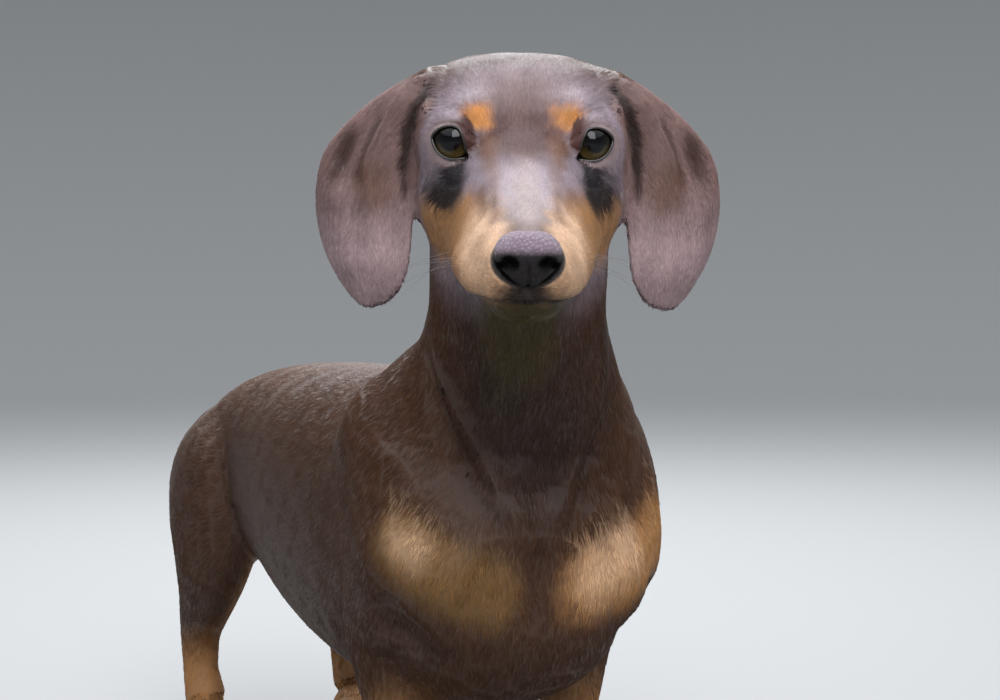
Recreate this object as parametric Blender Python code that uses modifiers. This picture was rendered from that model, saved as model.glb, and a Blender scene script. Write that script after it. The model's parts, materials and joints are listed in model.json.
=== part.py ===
"""A smooth-haired miniature dachshund, life size, standing on four paws with its head up and turned to its right.

Metres, +Z up. The dog faces -Y and its left side is +X. The origin is under the middle of the model, on the floor.
The body is drawn in units of U, which is one millimetre for a dog of 184 mm at the withers.
"""

import math

import bmesh
import bpy
import numpy as np
from mathutils import Euler, Matrix, Vector

# Driving dimensions, in metres.
WITHERS_HEIGHT = 0.184
HEAD_PLACE = (-0.0155, -0.056, 0.2545)
HEAD_SIZE = 1.07
HEAD_TURN = math.radians(-27)
HEAD_NOD = math.radians(16.5)
HEAD_TILT = math.radians(0.7)
GAP = 0.0003
SLIVER = 0.00003
BODY_VOXEL = 0.003
SKIN_VOXEL = 0.0024
SKIN_TRIANGLES = 5800

U = WITHERS_HEIGHT / 184
RING = 40
STEPS = 5
SIDES = {"left": 1, "right": -1}

# Rows of the drawing are in U. Trunk: y, top, bottom, half width.
TRUNK = (
    (-54, 128, 106, 14),
    (-49, 144, 86, 32),
    (-36, 160, 68, 46),
    (-15, 175, 58, 53),
    (10, 183, 54, 56),
    (40, 184, 53, 56),
    (75, 182, 57, 55),
    (110, 181, 64, 52),
    (145, 180, 75, 47),
    (178, 177, 84, 43),
    (208, 171, 90, 41),
    (232, 159, 97, 35),
    (248, 146, 106, 24),
    (255, 135, 116, 10),
)

# Head, in its own frame: y, top, bottom, half width, taper towards the top.
SKULL = (
    (-10, 11, -26, 24, 0.20),
    (0, 19, -30, 30, 0.12),
    (10, 27, -32, 35, 0.06),
    (22, 33, -33, 38, 0.0),
    (36, 34.5, -32, 37.5, 0.0),
    (49, 31, -28, 33.5, 0.0),
    (60, 20, -20, 24, 0.0),
    (65, 9, -8, 11, 0.0),
)
MUZZLE = (
    (-74, -6, -16, 7, 0.10),
    (-71, -2, -19.5, 12.5, 0.12),
    (-63, 2, -22.5, 16, 0.18),
    (-52, 5, -23.5, 18.3, 0.24),
    (-38, 8, -24.5, 20.5, 0.32),
    (-24, 11, -26, 22.5, 0.32),
    (-8, 16, -27, 25, 0.25),
    (10, 22, -26, 26, 0.15),
)
JAW = (
    (-66, -19, -26.5, 7, 0.0),
    (-61, -17, -29.5, 10.5, 0.0),
    (-48, -16, -32, 13, 0.0),
    (-30, -15, -34.5, 16, 0.0),
    (-14, -14, -36.5, 20, 0.0),
    (5, -10, -38, 25, 0.0),
    (28, -8, -36, 27, 0.0),
)

# Limbs and neck: x, y, z, half thickness to the side, half thickness front to back. The dog's right foreleg
# stands a little further in than its left, by a shift along X for each side. Above the elbows both shoulders
# lean towards its left.
NECK = (
    (1, 20, 112, 48, 50),
    (3, 4, 142, 56, 54),
    (3, -8, 166, 54, 43),
    (0, -22, 184, 40, 38),
    (-5, -33, 206, 32, 33),
    (-7, -38, 228, 31.5, 33),
    (-6, -37, 250, 29.5, 31),
)
SHOULDER = (
    (34, 26, 172, 13, 16),
    (46, 14, 160, 18, 24),
    (47, 1, 138, 19, 28),
    (46, -14, 118, 18.5, 25),
    (42, -20, 104, 17, 20),
)
FORELEG = (
    (42, -20, 120, 18, 18),
    (45, -8, 108, 18, 24),
    (45, 6, 92, 16, 22),
    (43, 8, 72, 13.5, 16),
    (39, 5, 50, 11.5, 12.5),
    (37, 1, 32, 11, 12),
    (38, -3, 16, 11.5, 13),
)
FORELIMB_SHIFT = {1: 0, -1: 6}
SHOULDER_LEAN, ELBOW_TOP = {1: 4, -1: -4}, 120
HINDLEG = (
    (22, 208, 150, 16, 26),
    (32, 204, 130, 22, 38),
    (38, 196, 108, 21, 34),
    (41, 196, 88, 17, 26),
    (40, 208, 68, 12.5, 18),
    (38, 222, 50, 9.5, 13),
    (38, 222, 32, 8.5, 10),
    (38, 214, 16, 10, 13),
)
TAIL = (
    (0, 228, 146, 10, 10),
    (0, 247, 142, 10.5, 11),
    (-2, 262, 128, 9, 9.5),
    (-5, 270, 108, 7.8, 8),
    (-9, 273, 86, 6.5, 6.6),
    (-13, 276, 66, 5.2, 5.3),
    (-17, 282, 48, 4.0, 4.1),
    (-20, 291, 36, 2.8, 2.9),
)
EAR_LINE = (
    (22, 26, 27.5, 12, 86),
    (31, 26, 27.5, 13.5, 80),
    (38.5, 25, 21.5, 15.5, 68),
    (45.5, 25.5, 12, 19.3, 54),
    (52.4, 24.2, 0, 22.4, 44),
    (54, 21, -12, 21.9, 38),
    (54, 18.5, -23, 20.7, 36),
    (53, 16, -33, 18.2, 36),
    (52, 15, -40.5, 14, 36),
    (51.3, 14, -46, 8.5, 36),
    (51, 14, -48.7, 3, 36),
)
EAR_HALF_THICKNESS = 1.5
EAR_THINNING = 0.55
EAR_CUP = 0.16

# Lumps that round off the chest, brow, orbit and cheek: frame, place and radii, one on each side.
LUMPS = {
    "breast": ("body", (27, -30, 110), (24, 20, 28)),
    "brow": ("head", (14, 12, 18), (12, 12, 9)),
    "orbit": ("head", (24, 14, 8), (12, 15, 15)),
    "cheek": ("head", (25, 17, -8), (11, 22, 17)),
}

# The nose pad and the sheet that cuts the mouth line, both in the head's frame and drawn as the trunk is.
NOSE = (
    (-77, -7, -10.5, 3, 0.0),
    (-76, -4, -12.5, 7.2, 0.0),
    (-73, -0.5, -13.7, 10, 0.02),
    (-68, 1.5, -14, 10.6, 0.03),
    (-62, 0.5, -12.5, 9, 0.0),
    (-59, -3, -9, 5, 0.0),
)
NOSTRIL_PLACE = (5.2, -76.0, -7.2)
NOSTRIL_RADII = (2.5, 4.0, 2.3)
NOSTRIL_SLIT_PLACE = (8.6, -73.5, -9.4)
NOSTRIL_SLIT_RADII = (2.8, 3.6, 0.9)
MOUTH_LINE = ((-80, -19.5), (-64, -20.5), (-48, -21), (-32, -21), (-20, -20))
MOUTH_GROOVE = 1.0
LIP_DEPTH = 2.2

EYE_RADIUS = 9.2
EYE_PLACE = (20.9, 7.3, 11)
EYE_TURN_OUT = math.radians(17)
EYE_TURN_UP = math.radians(10)
LID_THICKNESS = 1.8
LID_OPENING = (6.8, 6.1)

FOREPAW_PLACE = (39, -10, 7.4)
HINDPAW_PLACE = (39, 205, 7.2)
TOE_PLACES = ((-10.4, -6), (-3.7, -14), (3.7, -14), (10.4, -6))
TOE_RADII = (5.6, 10, 8.2)
TOE_TURN = math.radians(-1.1)
PAD_RADII = (14, 15, 10.5)
CLAW_RADIUS = 1.7
CLAW_POINT = 0.3
CLAW_FOOT = (0, -7, -1.5)
CLAW_TIP = (0, -14, -5)
DEWCLAW_FOOT = (29, 2, 28)
DEWCLAW_TIP = (26.5, -4, 21)
FOREPAW_TURN = math.radians(7)

# Where the skin keeps its small triangles: ahead of this in the head's frame and above this, or below this.
FINE_HEAD_BACK = 16
FINE_HEAD_LOW = 205
FINE_PAW_TOP = 24
FINE_WEIGHT = 0.985

# Nodes are cut off the skin in this order, each by a box in a frame of its own: its place and turn, and two
# corners from there. A node with a side is cut twice, mirrored.
REACH = 400
CUTS = (
    ("head", "head", (0, 10, -30), (14, 0, 0), (-REACH, -REACH, 0), (REACH, REACH, REACH)),
    ("neck", "body", (0, -16, 156), (37, 0, 0), (-REACH, -REACH, 0), (REACH, REACH, REACH)),
    ("tail", "body", (0, 250, 140), (0, 0, 0), (-REACH, 0, -REACH), (REACH, REACH, REACH)),
)
PAIRED_CUTS = (
    ("forepaw", (38, 0, 21), (0, 0, 0), (-30, -60, -60), (60, 30, 0)),
    ("foreleg", (36, -5, 75), (0, 18, 0), (-9, -44, -REACH), (REACH, 44, 26)),
    ("hindpaw", (38, 214, 19), (0, 0, 0), (-30, -60, -60), (60, 30, 0)),
    ("hindleg", (30, 205, 90), (0, 12, 0), (-17, -54, -REACH), (REACH, 60, 34)),
)

# The point of the floor under the middle of the model, in the frame of the drawing.
MIDDLE = (3.0, 81.3, 0)
SHARP_ANGLE = math.radians(50)

# Base colour and roughness.
MATERIALS = {
    "brown coat": ((0.055, 0.024, 0.016, 1.0), 0.6),
    "tan coat": ((0.35, 0.16, 0.055, 1.0), 0.65),
    "nose leather": ((0.075, 0.035, 0.035, 1.0), 0.4),
    "eye": ((0.02, 0.014, 0.006, 1.0), 0.05),
}


def clear_scene():
    for obj in list(bpy.data.objects):
        bpy.data.objects.remove(obj, do_unlink=True)


def collection(name):
    made = bpy.data.collections.new(name)
    bpy.context.scene.collection.children.link(made)
    return made


def material(name, colour, roughness):
    made = bpy.data.materials.new(name)
    made.use_nodes = True
    shader = made.node_tree.nodes["Principled BSDF"]
    shader.inputs["Base Color"].default_value = colour
    shader.inputs["Roughness"].default_value = roughness
    shader.inputs["Metallic"].default_value = 0.0
    return made


def refined(rows, steps=STEPS):
    """The rows with more between them, on a smooth curve through every value."""
    rows = np.array(rows, float)
    padded = np.vstack([2 * rows[0] - rows[1], rows, 2 * rows[-1] - rows[-2]])
    made = []
    for i in range(1, len(padded) - 2):
        a, b, c, d = padded[i - 1 : i + 3]
        for t in np.arange(steps) / steps:
            made.append(0.5 * (2 * b + (c - a) * t + (2 * a - 5 * b + 4 * c - d) * t**2
                               + (3 * b - a - 3 * c + d) * t**3))
    made.append(rows[-1])
    return np.array(made)


def rounded(count, power):
    """Points of a unit superellipse, as (sideways, upwards)."""
    turns = np.arange(count) * 2 * math.pi / count
    side, up = np.cos(turns), np.sin(turns)
    return np.sign(side) * np.abs(side) ** (2 / power), np.sign(up) * np.abs(up) ** (2 / power)


def object_of(bm, name, frame=Matrix.Identity(4)):
    bmesh.ops.transform(bm, matrix=frame, verts=bm.verts)
    bmesh.ops.recalc_face_normals(bm, faces=bm.faces)
    if bm.calc_volume(signed=True) < 0:
        bmesh.ops.reverse_faces(bm, faces=bm.faces)
    mesh = bpy.data.meshes.new(name)
    bm.to_mesh(mesh)
    bm.free()
    obj = bpy.data.objects.new(name, mesh)
    bpy.context.scene.collection.objects.link(obj)
    return obj


def loft(name, rings, frame=Matrix.Identity(4)):
    """A closed body through rings of points, each ring an array of the same length."""
    bm = bmesh.new()
    made = [[bm.verts.new(Vector(p) * U) for p in ring] for ring in rings]
    for low, high in zip(made, made[1:]):
        for i in range(len(low)):
            j = (i + 1) % len(low)
            bm.faces.new((low[i], low[j], high[j], high[i]))
    bm.faces.new(made[0])
    bm.faces.new(made[-1])
    return object_of(bm, name, frame)


def lengthwise(name, rows, frame=Matrix.Identity(4), middle=0.55, power=2.3, count=RING, steps=STEPS):
    """A body along Y. Rows are y, top, bottom, half width and, where given, taper."""
    side, up = rounded(count, power)
    rings = []
    for row in refined(rows, steps):
        y, top, bottom, half_width = row[:4]
        taper = row[4] if len(row) > 4 else 0.0
        level = bottom + middle * (top - bottom)
        z = level + np.where(up > 0, up * (top - level), up * (level - bottom))
        x = side * half_width * (1 - taper * up)
        rings.append(np.stack([x, np.full(count, y), z], 1))
    return loft(name, rings, frame)


def limb(name, rows, side_sign=1, frame=Matrix.Identity(4)):
    """A body along a path. Rows are x, y, z, half thickness to the side and front to back."""
    rows = refined(rows)
    rows[:, 0] *= side_sign
    places = rows[:, :3]
    ahead = np.gradient(places, axis=0)
    side, front = rounded(RING // 2, 2.1)
    rings = []
    for place, heading, half_side, half_front in zip(places, ahead, rows[:, 3], rows[:, 4]):
        heading = heading / np.linalg.norm(heading)
        forward = np.cross(heading, (1, 0, 0))
        forward /= np.linalg.norm(forward)
        across = np.cross(forward, heading)
        rings.append(place + np.outer(side * half_side, across) + np.outer(front * half_front, forward))
    return loft(name, rings, frame)


def ellipsoid(name, place, radii, frame=Matrix.Identity(4), turn=(0, 0, 0), segments=18):
    bm = bmesh.new()
    bmesh.ops.create_uvsphere(bm, u_segments=segments, v_segments=segments // 2, radius=1)
    local = Matrix.LocRotScale(Vector(place) * U, Euler(turn), Vector(radii) * U)
    return object_of(bm, name, frame @ local)


def cone(name, foot, tip, radius, frame=Matrix.Identity(4)):
    foot, tip = Vector(foot) * U, Vector(tip) * U
    bm = bmesh.new()
    bmesh.ops.create_cone(bm, cap_ends=True, segments=8, radius1=radius * U,
                          radius2=CLAW_POINT * radius * U, depth=(tip - foot).length)
    turn = (tip - foot).to_track_quat("Z", "Y").to_matrix().to_4x4()
    return object_of(bm, name, frame @ Matrix.Translation((foot + tip) / 2) @ turn)


def box(name, low, high, frame=Matrix.Identity(4)):
    """A box between two corners, in metres."""
    low, high = Vector(low), Vector(high)
    bm = bmesh.new()
    bmesh.ops.create_cube(bm, size=1)
    return object_of(bm, name, frame @ Matrix.LocRotScale((low + high) / 2, None, high - low))


def apply_modifiers(obj):
    graph = bpy.context.evaluated_depsgraph_get()
    mesh = bpy.data.meshes.new_from_object(obj.evaluated_get(graph))
    obj.modifiers.clear()
    obj.data = mesh


def remove(*objects):
    for obj in objects:
        bpy.data.objects.remove(obj, do_unlink=True)


def fuse(name, pieces, voxel, smoothing, factor=0.5):
    """One closed skin round all the pieces, with the creases between them smoothed out."""
    bm = bmesh.new()
    for piece in pieces:
        piece.data.transform(piece.matrix_world)
        bm.from_mesh(piece.data)
    remove(*pieces)
    fused = object_of(bm, name)
    remesh = fused.modifiers.new("Remesh", "REMESH")
    remesh.mode = "VOXEL"
    remesh.voxel_size = voxel
    smooth = fused.modifiers.new("Smooth", "SMOOTH")
    smooth.factor = factor
    smooth.iterations = smoothing
    apply_modifiers(fused)
    return fused


def boolean(target, others, operation, solver="EXACT"):
    """Joins or cuts target with closed mesh objects, which are then removed."""
    tools = bpy.data.collections.new("tools")
    bpy.context.scene.collection.children.link(tools)
    for other in others:
        bpy.context.scene.collection.objects.unlink(other)
        tools.objects.link(other)
    step = target.modifiers.new("Boolean", "BOOLEAN")
    step.operand_type = "COLLECTION"
    step.collection = tools
    step.operation = operation
    step.solver = solver
    apply_modifiers(target)
    remove(*list(tools.objects))
    bpy.data.collections.remove(tools)
    return target


def keep_largest(obj):
    """Drops every closed surface of the mesh but the largest."""
    bm = bmesh.new()
    bm.from_mesh(obj.data)
    left = set(bm.verts)
    shells = []
    while left:
        shell, edge = set(), [left.pop()]
        while edge:
            vert = edge.pop()
            shell.add(vert)
            for link in vert.link_edges:
                other = link.other_vert(vert)
                if other in left:
                    left.remove(other)
                    edge.append(other)
        shells.append(shell)
    largest = max(shells, key=lambda shell: sum(f.calc_area() for v in shell for f in v.link_faces))
    bmesh.ops.delete(bm, geom=[v for v in bm.verts if v not in largest], context="VERTS")
    bm.to_mesh(obj.data)
    bm.free()
    return obj


def without_slivers(obj):
    """Joins the vertices that a cut left much closer together than the gap between nodes."""
    bm = bmesh.new()
    bm.from_mesh(obj.data)
    bmesh.ops.remove_doubles(bm, verts=bm.verts, dist=SLIVER)
    bm.to_mesh(obj.data)
    bm.free()
    return obj


def copy_of(obj, name):
    made = obj.copy()
    made.data = obj.data.copy()
    made.name = name
    bpy.context.scene.collection.objects.link(made)
    return made


def head_frame():
    turn = Matrix.Rotation(HEAD_TURN, 4, "Z") @ Matrix.Rotation(HEAD_NOD, 4, "X")
    turn = turn @ Matrix.Rotation(HEAD_TILT, 4, "Y")
    return Matrix.Translation(HEAD_PLACE) @ turn @ Matrix.Scale(HEAD_SIZE, 4)


def eye_frame(sign):
    """At the middle of the eyeball, with -Y the way that the eye looks."""
    place = Matrix.Translation(Vector((sign * EYE_PLACE[0], *EYE_PLACE[1:])) * U)
    turn = Matrix.Rotation(sign * EYE_TURN_OUT, 4, "Z") @ Matrix.Rotation(-EYE_TURN_UP, 4, "X")
    return head_frame() @ place @ turn


def forelimb_frame(sign):
    return Matrix.Translation((FORELIMB_SHIFT[sign] * U, 0, 0))


def shoulder_rows(sign):
    """The shoulder of one side, which leans out above the elbow."""
    return [(x + SHOULDER_LEAN[sign] * (z > ELBOW_TOP), y, z, *half) for x, y, z, *half in SHOULDER]


def masses():
    """The large forms of the body, fused and smoothed."""
    head = head_frame()
    pieces = [
        lengthwise("trunk", TRUNK),
        limb("neck", NECK),
        lengthwise("skull", SKULL, head, power=2.8),
        lengthwise("muzzle", MUZZLE, head, middle=0.4, power=2.5),
        lengthwise("jaw", JAW, head, power=2.4),
        limb("tail", TAIL),
    ]
    for sign in SIDES.values():
        pieces.append(limb("shoulder", shoulder_rows(sign), sign, forelimb_frame(sign)))
        pieces.append(limb("foreleg", FORELEG, sign, forelimb_frame(sign)))
        pieces.append(limb("hindleg", HINDLEG, sign))
        for name, (owner, place, radii) in LUMPS.items():
            frame = head if owner == "head" else Matrix.Identity(4)
            pieces.append(ellipsoid(name, (sign * place[0], *place[1:]), radii, frame))
    return fuse("masses", pieces, BODY_VOXEL, smoothing=7)


def paw_frame(place, sign, turn):
    frame = Matrix.Translation(Vector((sign * place[0], *place[1:])) * U)
    if place == FOREPAW_PLACE:
        frame = forelimb_frame(sign) @ frame
    return frame @ Matrix.Rotation(sign * turn, 4, "Z")


def paw(place, sign, turn):
    """The toes and pads of one paw, which lie slightly below the floor until they are cut flat."""
    frame = paw_frame(place, sign, turn)
    pieces = [ellipsoid("pad", (0, 2, 1), PAD_RADII, frame)]
    for x, y in TOE_PLACES:
        pieces.append(ellipsoid("toe", (x, y, -1), TOE_RADII, frame, (0, 0, TOE_TURN * x)))
    return pieces


def claws(place, sign, turn):
    frame = paw_frame(place, sign, turn)
    made = []
    for x, y in TOE_PLACES:
        toe = Vector((x, y, 0))
        made.append(cone("claw", toe + Vector(CLAW_FOOT), toe + Vector(CLAW_TIP), CLAW_RADIUS, frame))
    return made


def ear(name, sign):
    """The leaf of one ear, cupped towards the cheek and thinner at its edges."""
    rows = refined(EAR_LINE, 1)
    spread = np.linspace(-1, 1, 9)
    rings = []
    for row, heading in zip(rows, np.gradient(rows[:, :3], axis=0)):
        turn = math.radians(row[4])
        across = Vector((math.cos(turn), math.sin(turn), 0))
        outward = Vector(np.cross(across, heading)).normalized()
        outward *= math.copysign(1, outward.x)
        outer, inner = [], []
        for s in spread:
            sag = EAR_CUP * row[3] * (1 - 2 * s * s)
            middle = Vector(row[:3]) + across * s * row[3] + outward * sag
            thin = EAR_HALF_THICKNESS * (1.0 - EAR_THINNING * s * s)
            outer.append(middle + outward * thin)
            inner.append(middle - outward * thin)
        rings.append([(sign * p.x, p.y, p.z) for p in outer + inner[::-1]])
    return loft(name, rings, head_frame())


def skin():
    """The whole body with its ears left off, closed, of few triangles, and cut flat under the paws."""
    pieces = [masses()]
    for sign in SIDES.values():
        pieces += paw(FOREPAW_PLACE, sign, FOREPAW_TURN)
        pieces += paw(HINDPAW_PLACE, sign, 0.0)
    whole = fuse("skin", pieces, SKIN_VOXEL, smoothing=3)
    detail = whole.vertex_groups.new(name="plain")
    head = head_frame().inverted()
    for vertex in whole.data.vertices:
        fine = (head @ vertex.co).y < FINE_HEAD_BACK * U and vertex.co.z > FINE_HEAD_LOW * U
        fine = fine or vertex.co.z < FINE_PAW_TOP * U
        detail.add([vertex.index], FINE_WEIGHT if fine else 1.0, "REPLACE")
    fewer = whole.modifiers.new("Decimate", "DECIMATE")
    fewer.vertex_group = detail.name
    fewer.vertex_group_factor = 1.0
    fewer.ratio = SKIN_TRIANGLES / (2 * len(whole.data.polygons))
    apply_modifiers(whole)
    whole.vertex_groups.clear()
    return whole


def mouth_groove():
    """A thin bent sheet at the mouth line, hollow in the middle so that it only scores the lips."""
    rows = [(y, z + MOUTH_GROOVE / 2, z - MOUTH_GROOVE / 2, 40) for y, z in MOUTH_LINE]
    core = [(y + LIP_DEPTH, top, bottom, half_width - LIP_DEPTH, taper)
            for y, top, bottom, half_width, taper in MUZZLE]
    sheet = lengthwise("mouth line", rows, head_frame(), power=8, count=16, steps=2)
    core = lengthwise("core", core, head_frame(), middle=0.4, power=2.5, count=24, steps=2)
    return boolean(sheet, [core], "DIFFERENCE")


def grown(rows, by):
    """The rows of a lengthwise body, larger by the same amount on every side."""
    made = [(y, top + by, bottom - by, half_width + by, taper) for y, top, bottom, half_width, taper in rows]
    made[0] = (made[0][0] - by, *made[0][1:])
    made[-1] = (made[-1][0] + by, *made[-1][1:])
    return made


def nose_body(name, growth=0.0):
    return lengthwise(name, grown(NOSE, growth), head_frame(), count=20, steps=2)


def worked(body):
    """The skin with its lids and claws, and with sockets, the mouth line and the bed of the nose cut in."""
    added = []
    cutters = [mouth_groove(), nose_body("nose bed", GAP / U)]
    width, height = LID_OPENING
    lid = EYE_RADIUS + LID_THICKNESS
    for sign in SIDES.values():
        eye = eye_frame(sign)
        added.append(ellipsoid("lids", (0, 0, 0), (lid, lid, lid), eye))
        added += claws(FOREPAW_PLACE, sign, FOREPAW_TURN) + claws(HINDPAW_PLACE, sign, 0.0)
        mirror = forelimb_frame(sign) @ Matrix.Scale(sign, 4, (1, 0, 0))
        added.append(cone("dewclaw", DEWCLAW_FOOT, DEWCLAW_TIP, CLAW_RADIUS, mirror))
        cutters.append(ellipsoid("socket", (0, 0, 0), (EYE_RADIUS + GAP / U,) * 3, eye))
        cutters.append(ellipsoid("opening", (0, -lid, 0), (width, lid, height), eye))
    reach = REACH * U
    cutters.append(box("floor", (-reach, -reach, -reach), (reach, reach, 0)))
    return keep_largest(boolean(boolean(body, added, "UNION"), cutters, "DIFFERENCE"))


def nose(name):
    """The pad of the nose, with its two comma-shaped nostrils."""
    nostrils = []
    for sign in SIDES.values():
        for place, radii in ((NOSTRIL_PLACE, NOSTRIL_RADII), (NOSTRIL_SLIT_PLACE, NOSTRIL_SLIT_RADII)):
            place = (sign * place[0], *place[1:])
            nostrils.append(ellipsoid("nostril", place, radii, head_frame(), segments=8))
    return keep_largest(boolean(nose_body(name), nostrils, "DIFFERENCE"))


def inflated(obj, by):
    """A copy whose surface lies further out by the given distance in metres."""
    made = copy_of(obj, obj.name + " grown")
    step = made.modifiers.new("Displace", "DISPLACE")
    step.mid_level = 0
    step.strength = by
    apply_modifiers(made)
    return made


def split(body, name, low, high, frame):
    """Cuts a node out of the body with a box, and leaves a gap between the two."""
    low, high = Vector(low) * U, Vector(high) * U
    gap = Vector((GAP, GAP, GAP))
    node = boolean(copy_of(body, name), [box("inside", low, high, frame)], "INTERSECT")
    boolean(body, [box("outside", low - gap, high + gap, frame)], "DIFFERENCE")
    keep_largest(body)
    return keep_largest(node)


def cut_frame(place, turn):
    turn = Euler([math.radians(angle) for angle in turn])
    return Matrix.LocRotScale(Vector(place) * U, turn, None)


def finish(node, group, whole, looks):
    """Gives a node its material and shading, and puts it in the collection under the whole's empty."""
    node.data.materials.clear()
    node.data.materials.append(looks)
    node.data.shade_smooth()
    node.data.set_sharp_from_angle(angle=SHARP_ANGLE)
    bpy.context.scene.collection.objects.unlink(node)
    group.objects.link(node)
    node.parent = whole


def main():
    clear_scene()
    body = skin()
    ears = []
    for side, sign in SIDES.items():
        ears.append(boolean(ear("ear_" + side, sign), [inflated(body, GAP)], "DIFFERENCE", "MANIFOLD"))
    body = worked(body)
    nodes = [without_slivers(keep_largest(ear)) for ear in ears] + [nose("nose")]
    for side, sign in SIDES.items():
        nodes.append(ellipsoid("eye_" + side, (0, 0, 0), (EYE_RADIUS,) * 3, eye_frame(sign)))
    for name, owner, place, turn, low, high in CUTS:
        frame = head_frame() if owner == "head" else Matrix.Identity(4)
        nodes.append(split(body, name, low, high, frame @ cut_frame(place, turn)))
    for name, place, turn, low, high in PAIRED_CUTS:
        for side, sign in SIDES.items():
            mirror = Matrix.Scale(sign, 4, (1, 0, 0))
            if name.startswith("fore"):
                mirror = forelimb_frame(sign) @ mirror
            nodes.append(split(body, name + "_" + side, low, high, mirror @ cut_frame(place, turn)))
    body.name = "torso"
    nodes.append(body)

    group = collection("dachshund")
    whole = bpy.data.objects.new("dachshund origin", None)
    group.objects.link(whole)
    whole.location = -Vector(MIDDLE) * U
    looks = {kind: material(kind, *values) for kind, values in MATERIALS.items()}
    for node in nodes:
        part = node.name.split("_")[0]
        kind = {"nose": "nose leather", "eye": "eye", "forepaw": "tan coat", "hindpaw": "tan coat"}
        finish(node, group, whole, looks[kind.get(part, "brown coat")])


main()
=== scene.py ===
"""The dachshund's looks: one skin with folds and markings, a short coat, eyes, nose, claws and whiskers.

The shapes are drawn as in the part's own source, in units of U, in the dog's frame and its head's frame.
"""

import json
import math

import bmesh
import bpy
import numpy as np
from mathutils import Euler, Matrix, Vector
from mathutils.bvhtree import BVHTree
from mathutils.noise import voronoi

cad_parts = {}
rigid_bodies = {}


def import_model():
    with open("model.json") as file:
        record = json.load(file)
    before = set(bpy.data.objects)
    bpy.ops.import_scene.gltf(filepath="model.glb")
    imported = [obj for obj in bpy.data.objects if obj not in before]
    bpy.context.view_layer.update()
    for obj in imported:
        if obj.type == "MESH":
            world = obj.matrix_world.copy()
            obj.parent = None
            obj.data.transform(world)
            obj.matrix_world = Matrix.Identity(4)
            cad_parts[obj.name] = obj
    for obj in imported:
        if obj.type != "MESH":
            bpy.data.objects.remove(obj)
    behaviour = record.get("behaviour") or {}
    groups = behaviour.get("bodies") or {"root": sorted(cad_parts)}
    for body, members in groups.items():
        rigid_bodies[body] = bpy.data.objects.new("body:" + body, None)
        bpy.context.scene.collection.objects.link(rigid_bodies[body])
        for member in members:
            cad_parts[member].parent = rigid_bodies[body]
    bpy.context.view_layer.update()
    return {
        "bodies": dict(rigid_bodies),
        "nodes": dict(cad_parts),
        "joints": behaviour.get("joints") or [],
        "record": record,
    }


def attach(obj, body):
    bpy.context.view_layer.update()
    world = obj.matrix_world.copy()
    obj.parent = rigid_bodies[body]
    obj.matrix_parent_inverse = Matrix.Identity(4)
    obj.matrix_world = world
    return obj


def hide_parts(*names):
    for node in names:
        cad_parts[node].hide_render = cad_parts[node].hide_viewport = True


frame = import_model()

SEED = 11
SIDES = {"left": 1, "right": -1}

# The dog's frame: one unit in metres, and the point of its floor that lies under the middle of the model.
U = 0.001
MIDDLE = (3.0, 81.3, 0.0)
BODY = Matrix.Translation(-Vector(MIDDLE) * U)
HEAD_PLACE = (-15.5, -56.0, 254.5)
HEAD_SIZE = 1.07
HEAD_TURN, HEAD_NOD, HEAD_TILT = math.radians(-27), math.radians(16.5), math.radians(0.7)

# Trunk: y, top, bottom, half width.
TRUNK = (
    (-54, 128, 106, 14),
    (-49, 144, 86, 32),
    (-36, 160, 68, 46),
    (-15, 175, 58, 53),
    (10, 183, 54, 56),
    (40, 184, 53, 56),
    (75, 182, 57, 55),
    (110, 181, 64, 52),
    (145, 180, 75, 47),
    (178, 177, 84, 43),
    (208, 171, 90, 41),
    (232, 159, 97, 35),
    (248, 146, 106, 24),
    (255, 135, 116, 10),
)

# Head, in its own frame: y, top, bottom, half width, taper towards the top.
SKULL = (
    (-10, 11, -26, 24, 0.20),
    (0, 19, -30, 30, 0.12),
    (10, 27, -32, 35, 0.06),
    (22, 33, -33, 38, 0.0),
    (36, 34.5, -32, 37.5, 0.0),
    (49, 31, -28, 33.5, 0.0),
    (60, 20, -20, 24, 0.0),
    (65, 9, -8, 11, 0.0),
)
MUZZLE = (
    (-74, -6, -16, 7, 0.10),
    (-71, -2, -19.5, 12.5, 0.12),
    (-63, 2, -22.5, 16, 0.18),
    (-52, 5, -23.5, 18.3, 0.24),
    (-38, 8, -24.5, 20.5, 0.32),
    (-24, 11, -26, 22.5, 0.32),
    (-8, 16, -27, 25, 0.25),
    (10, 22, -26, 26, 0.15),
)
JAW = (
    (-66, -19, -26.5, 7, 0.0),
    (-61, -17, -29.5, 10.5, 0.0),
    (-48, -16, -32, 13, 0.0),
    (-30, -15, -34.5, 16, 0.0),
    (-14, -14, -36.5, 20, 0.0),
    (5, -10, -38, 25, 0.0),
    (28, -8, -36, 27, 0.0),
)

# Limbs and neck: x, y, z, half thickness to the side, half thickness front to back. The dog's right foreleg
# stands a little further in than its left, by a shift along X for each side. Above the elbows both shoulders
# lean towards its left.
NECK = (
    (1, 20, 112, 48, 50),
    (3, 4, 142, 56, 54),
    (3, -8, 166, 54, 43),
    (0, -22, 184, 40, 38),
    (-5, -33, 206, 32, 33),
    (-7, -38, 228, 31.5, 33),
    (-6, -37, 250, 29.5, 31),
)
SHOULDER = (
    (34, 26, 172, 13, 16),
    (46, 14, 160, 18, 24),
    (47, 1, 138, 19, 28),
    (46, -14, 118, 18.5, 25),
    (42, -20, 104, 17, 20),
)
FORELEG = (
    (42, -20, 120, 18, 18),
    (45, -8, 108, 18, 24),
    (45, 6, 92, 16, 22),
    (43, 8, 72, 13.5, 16),
    (39, 5, 50, 11.5, 12.5),
    (37, 1, 32, 11, 12),
    (38, -3, 16, 11.5, 13),
)
FORELIMB_SHIFT = {1: 0, -1: 6}
SHOULDER_LEAN, ELBOW_TOP = {1: 4, -1: -4}, 120
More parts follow.
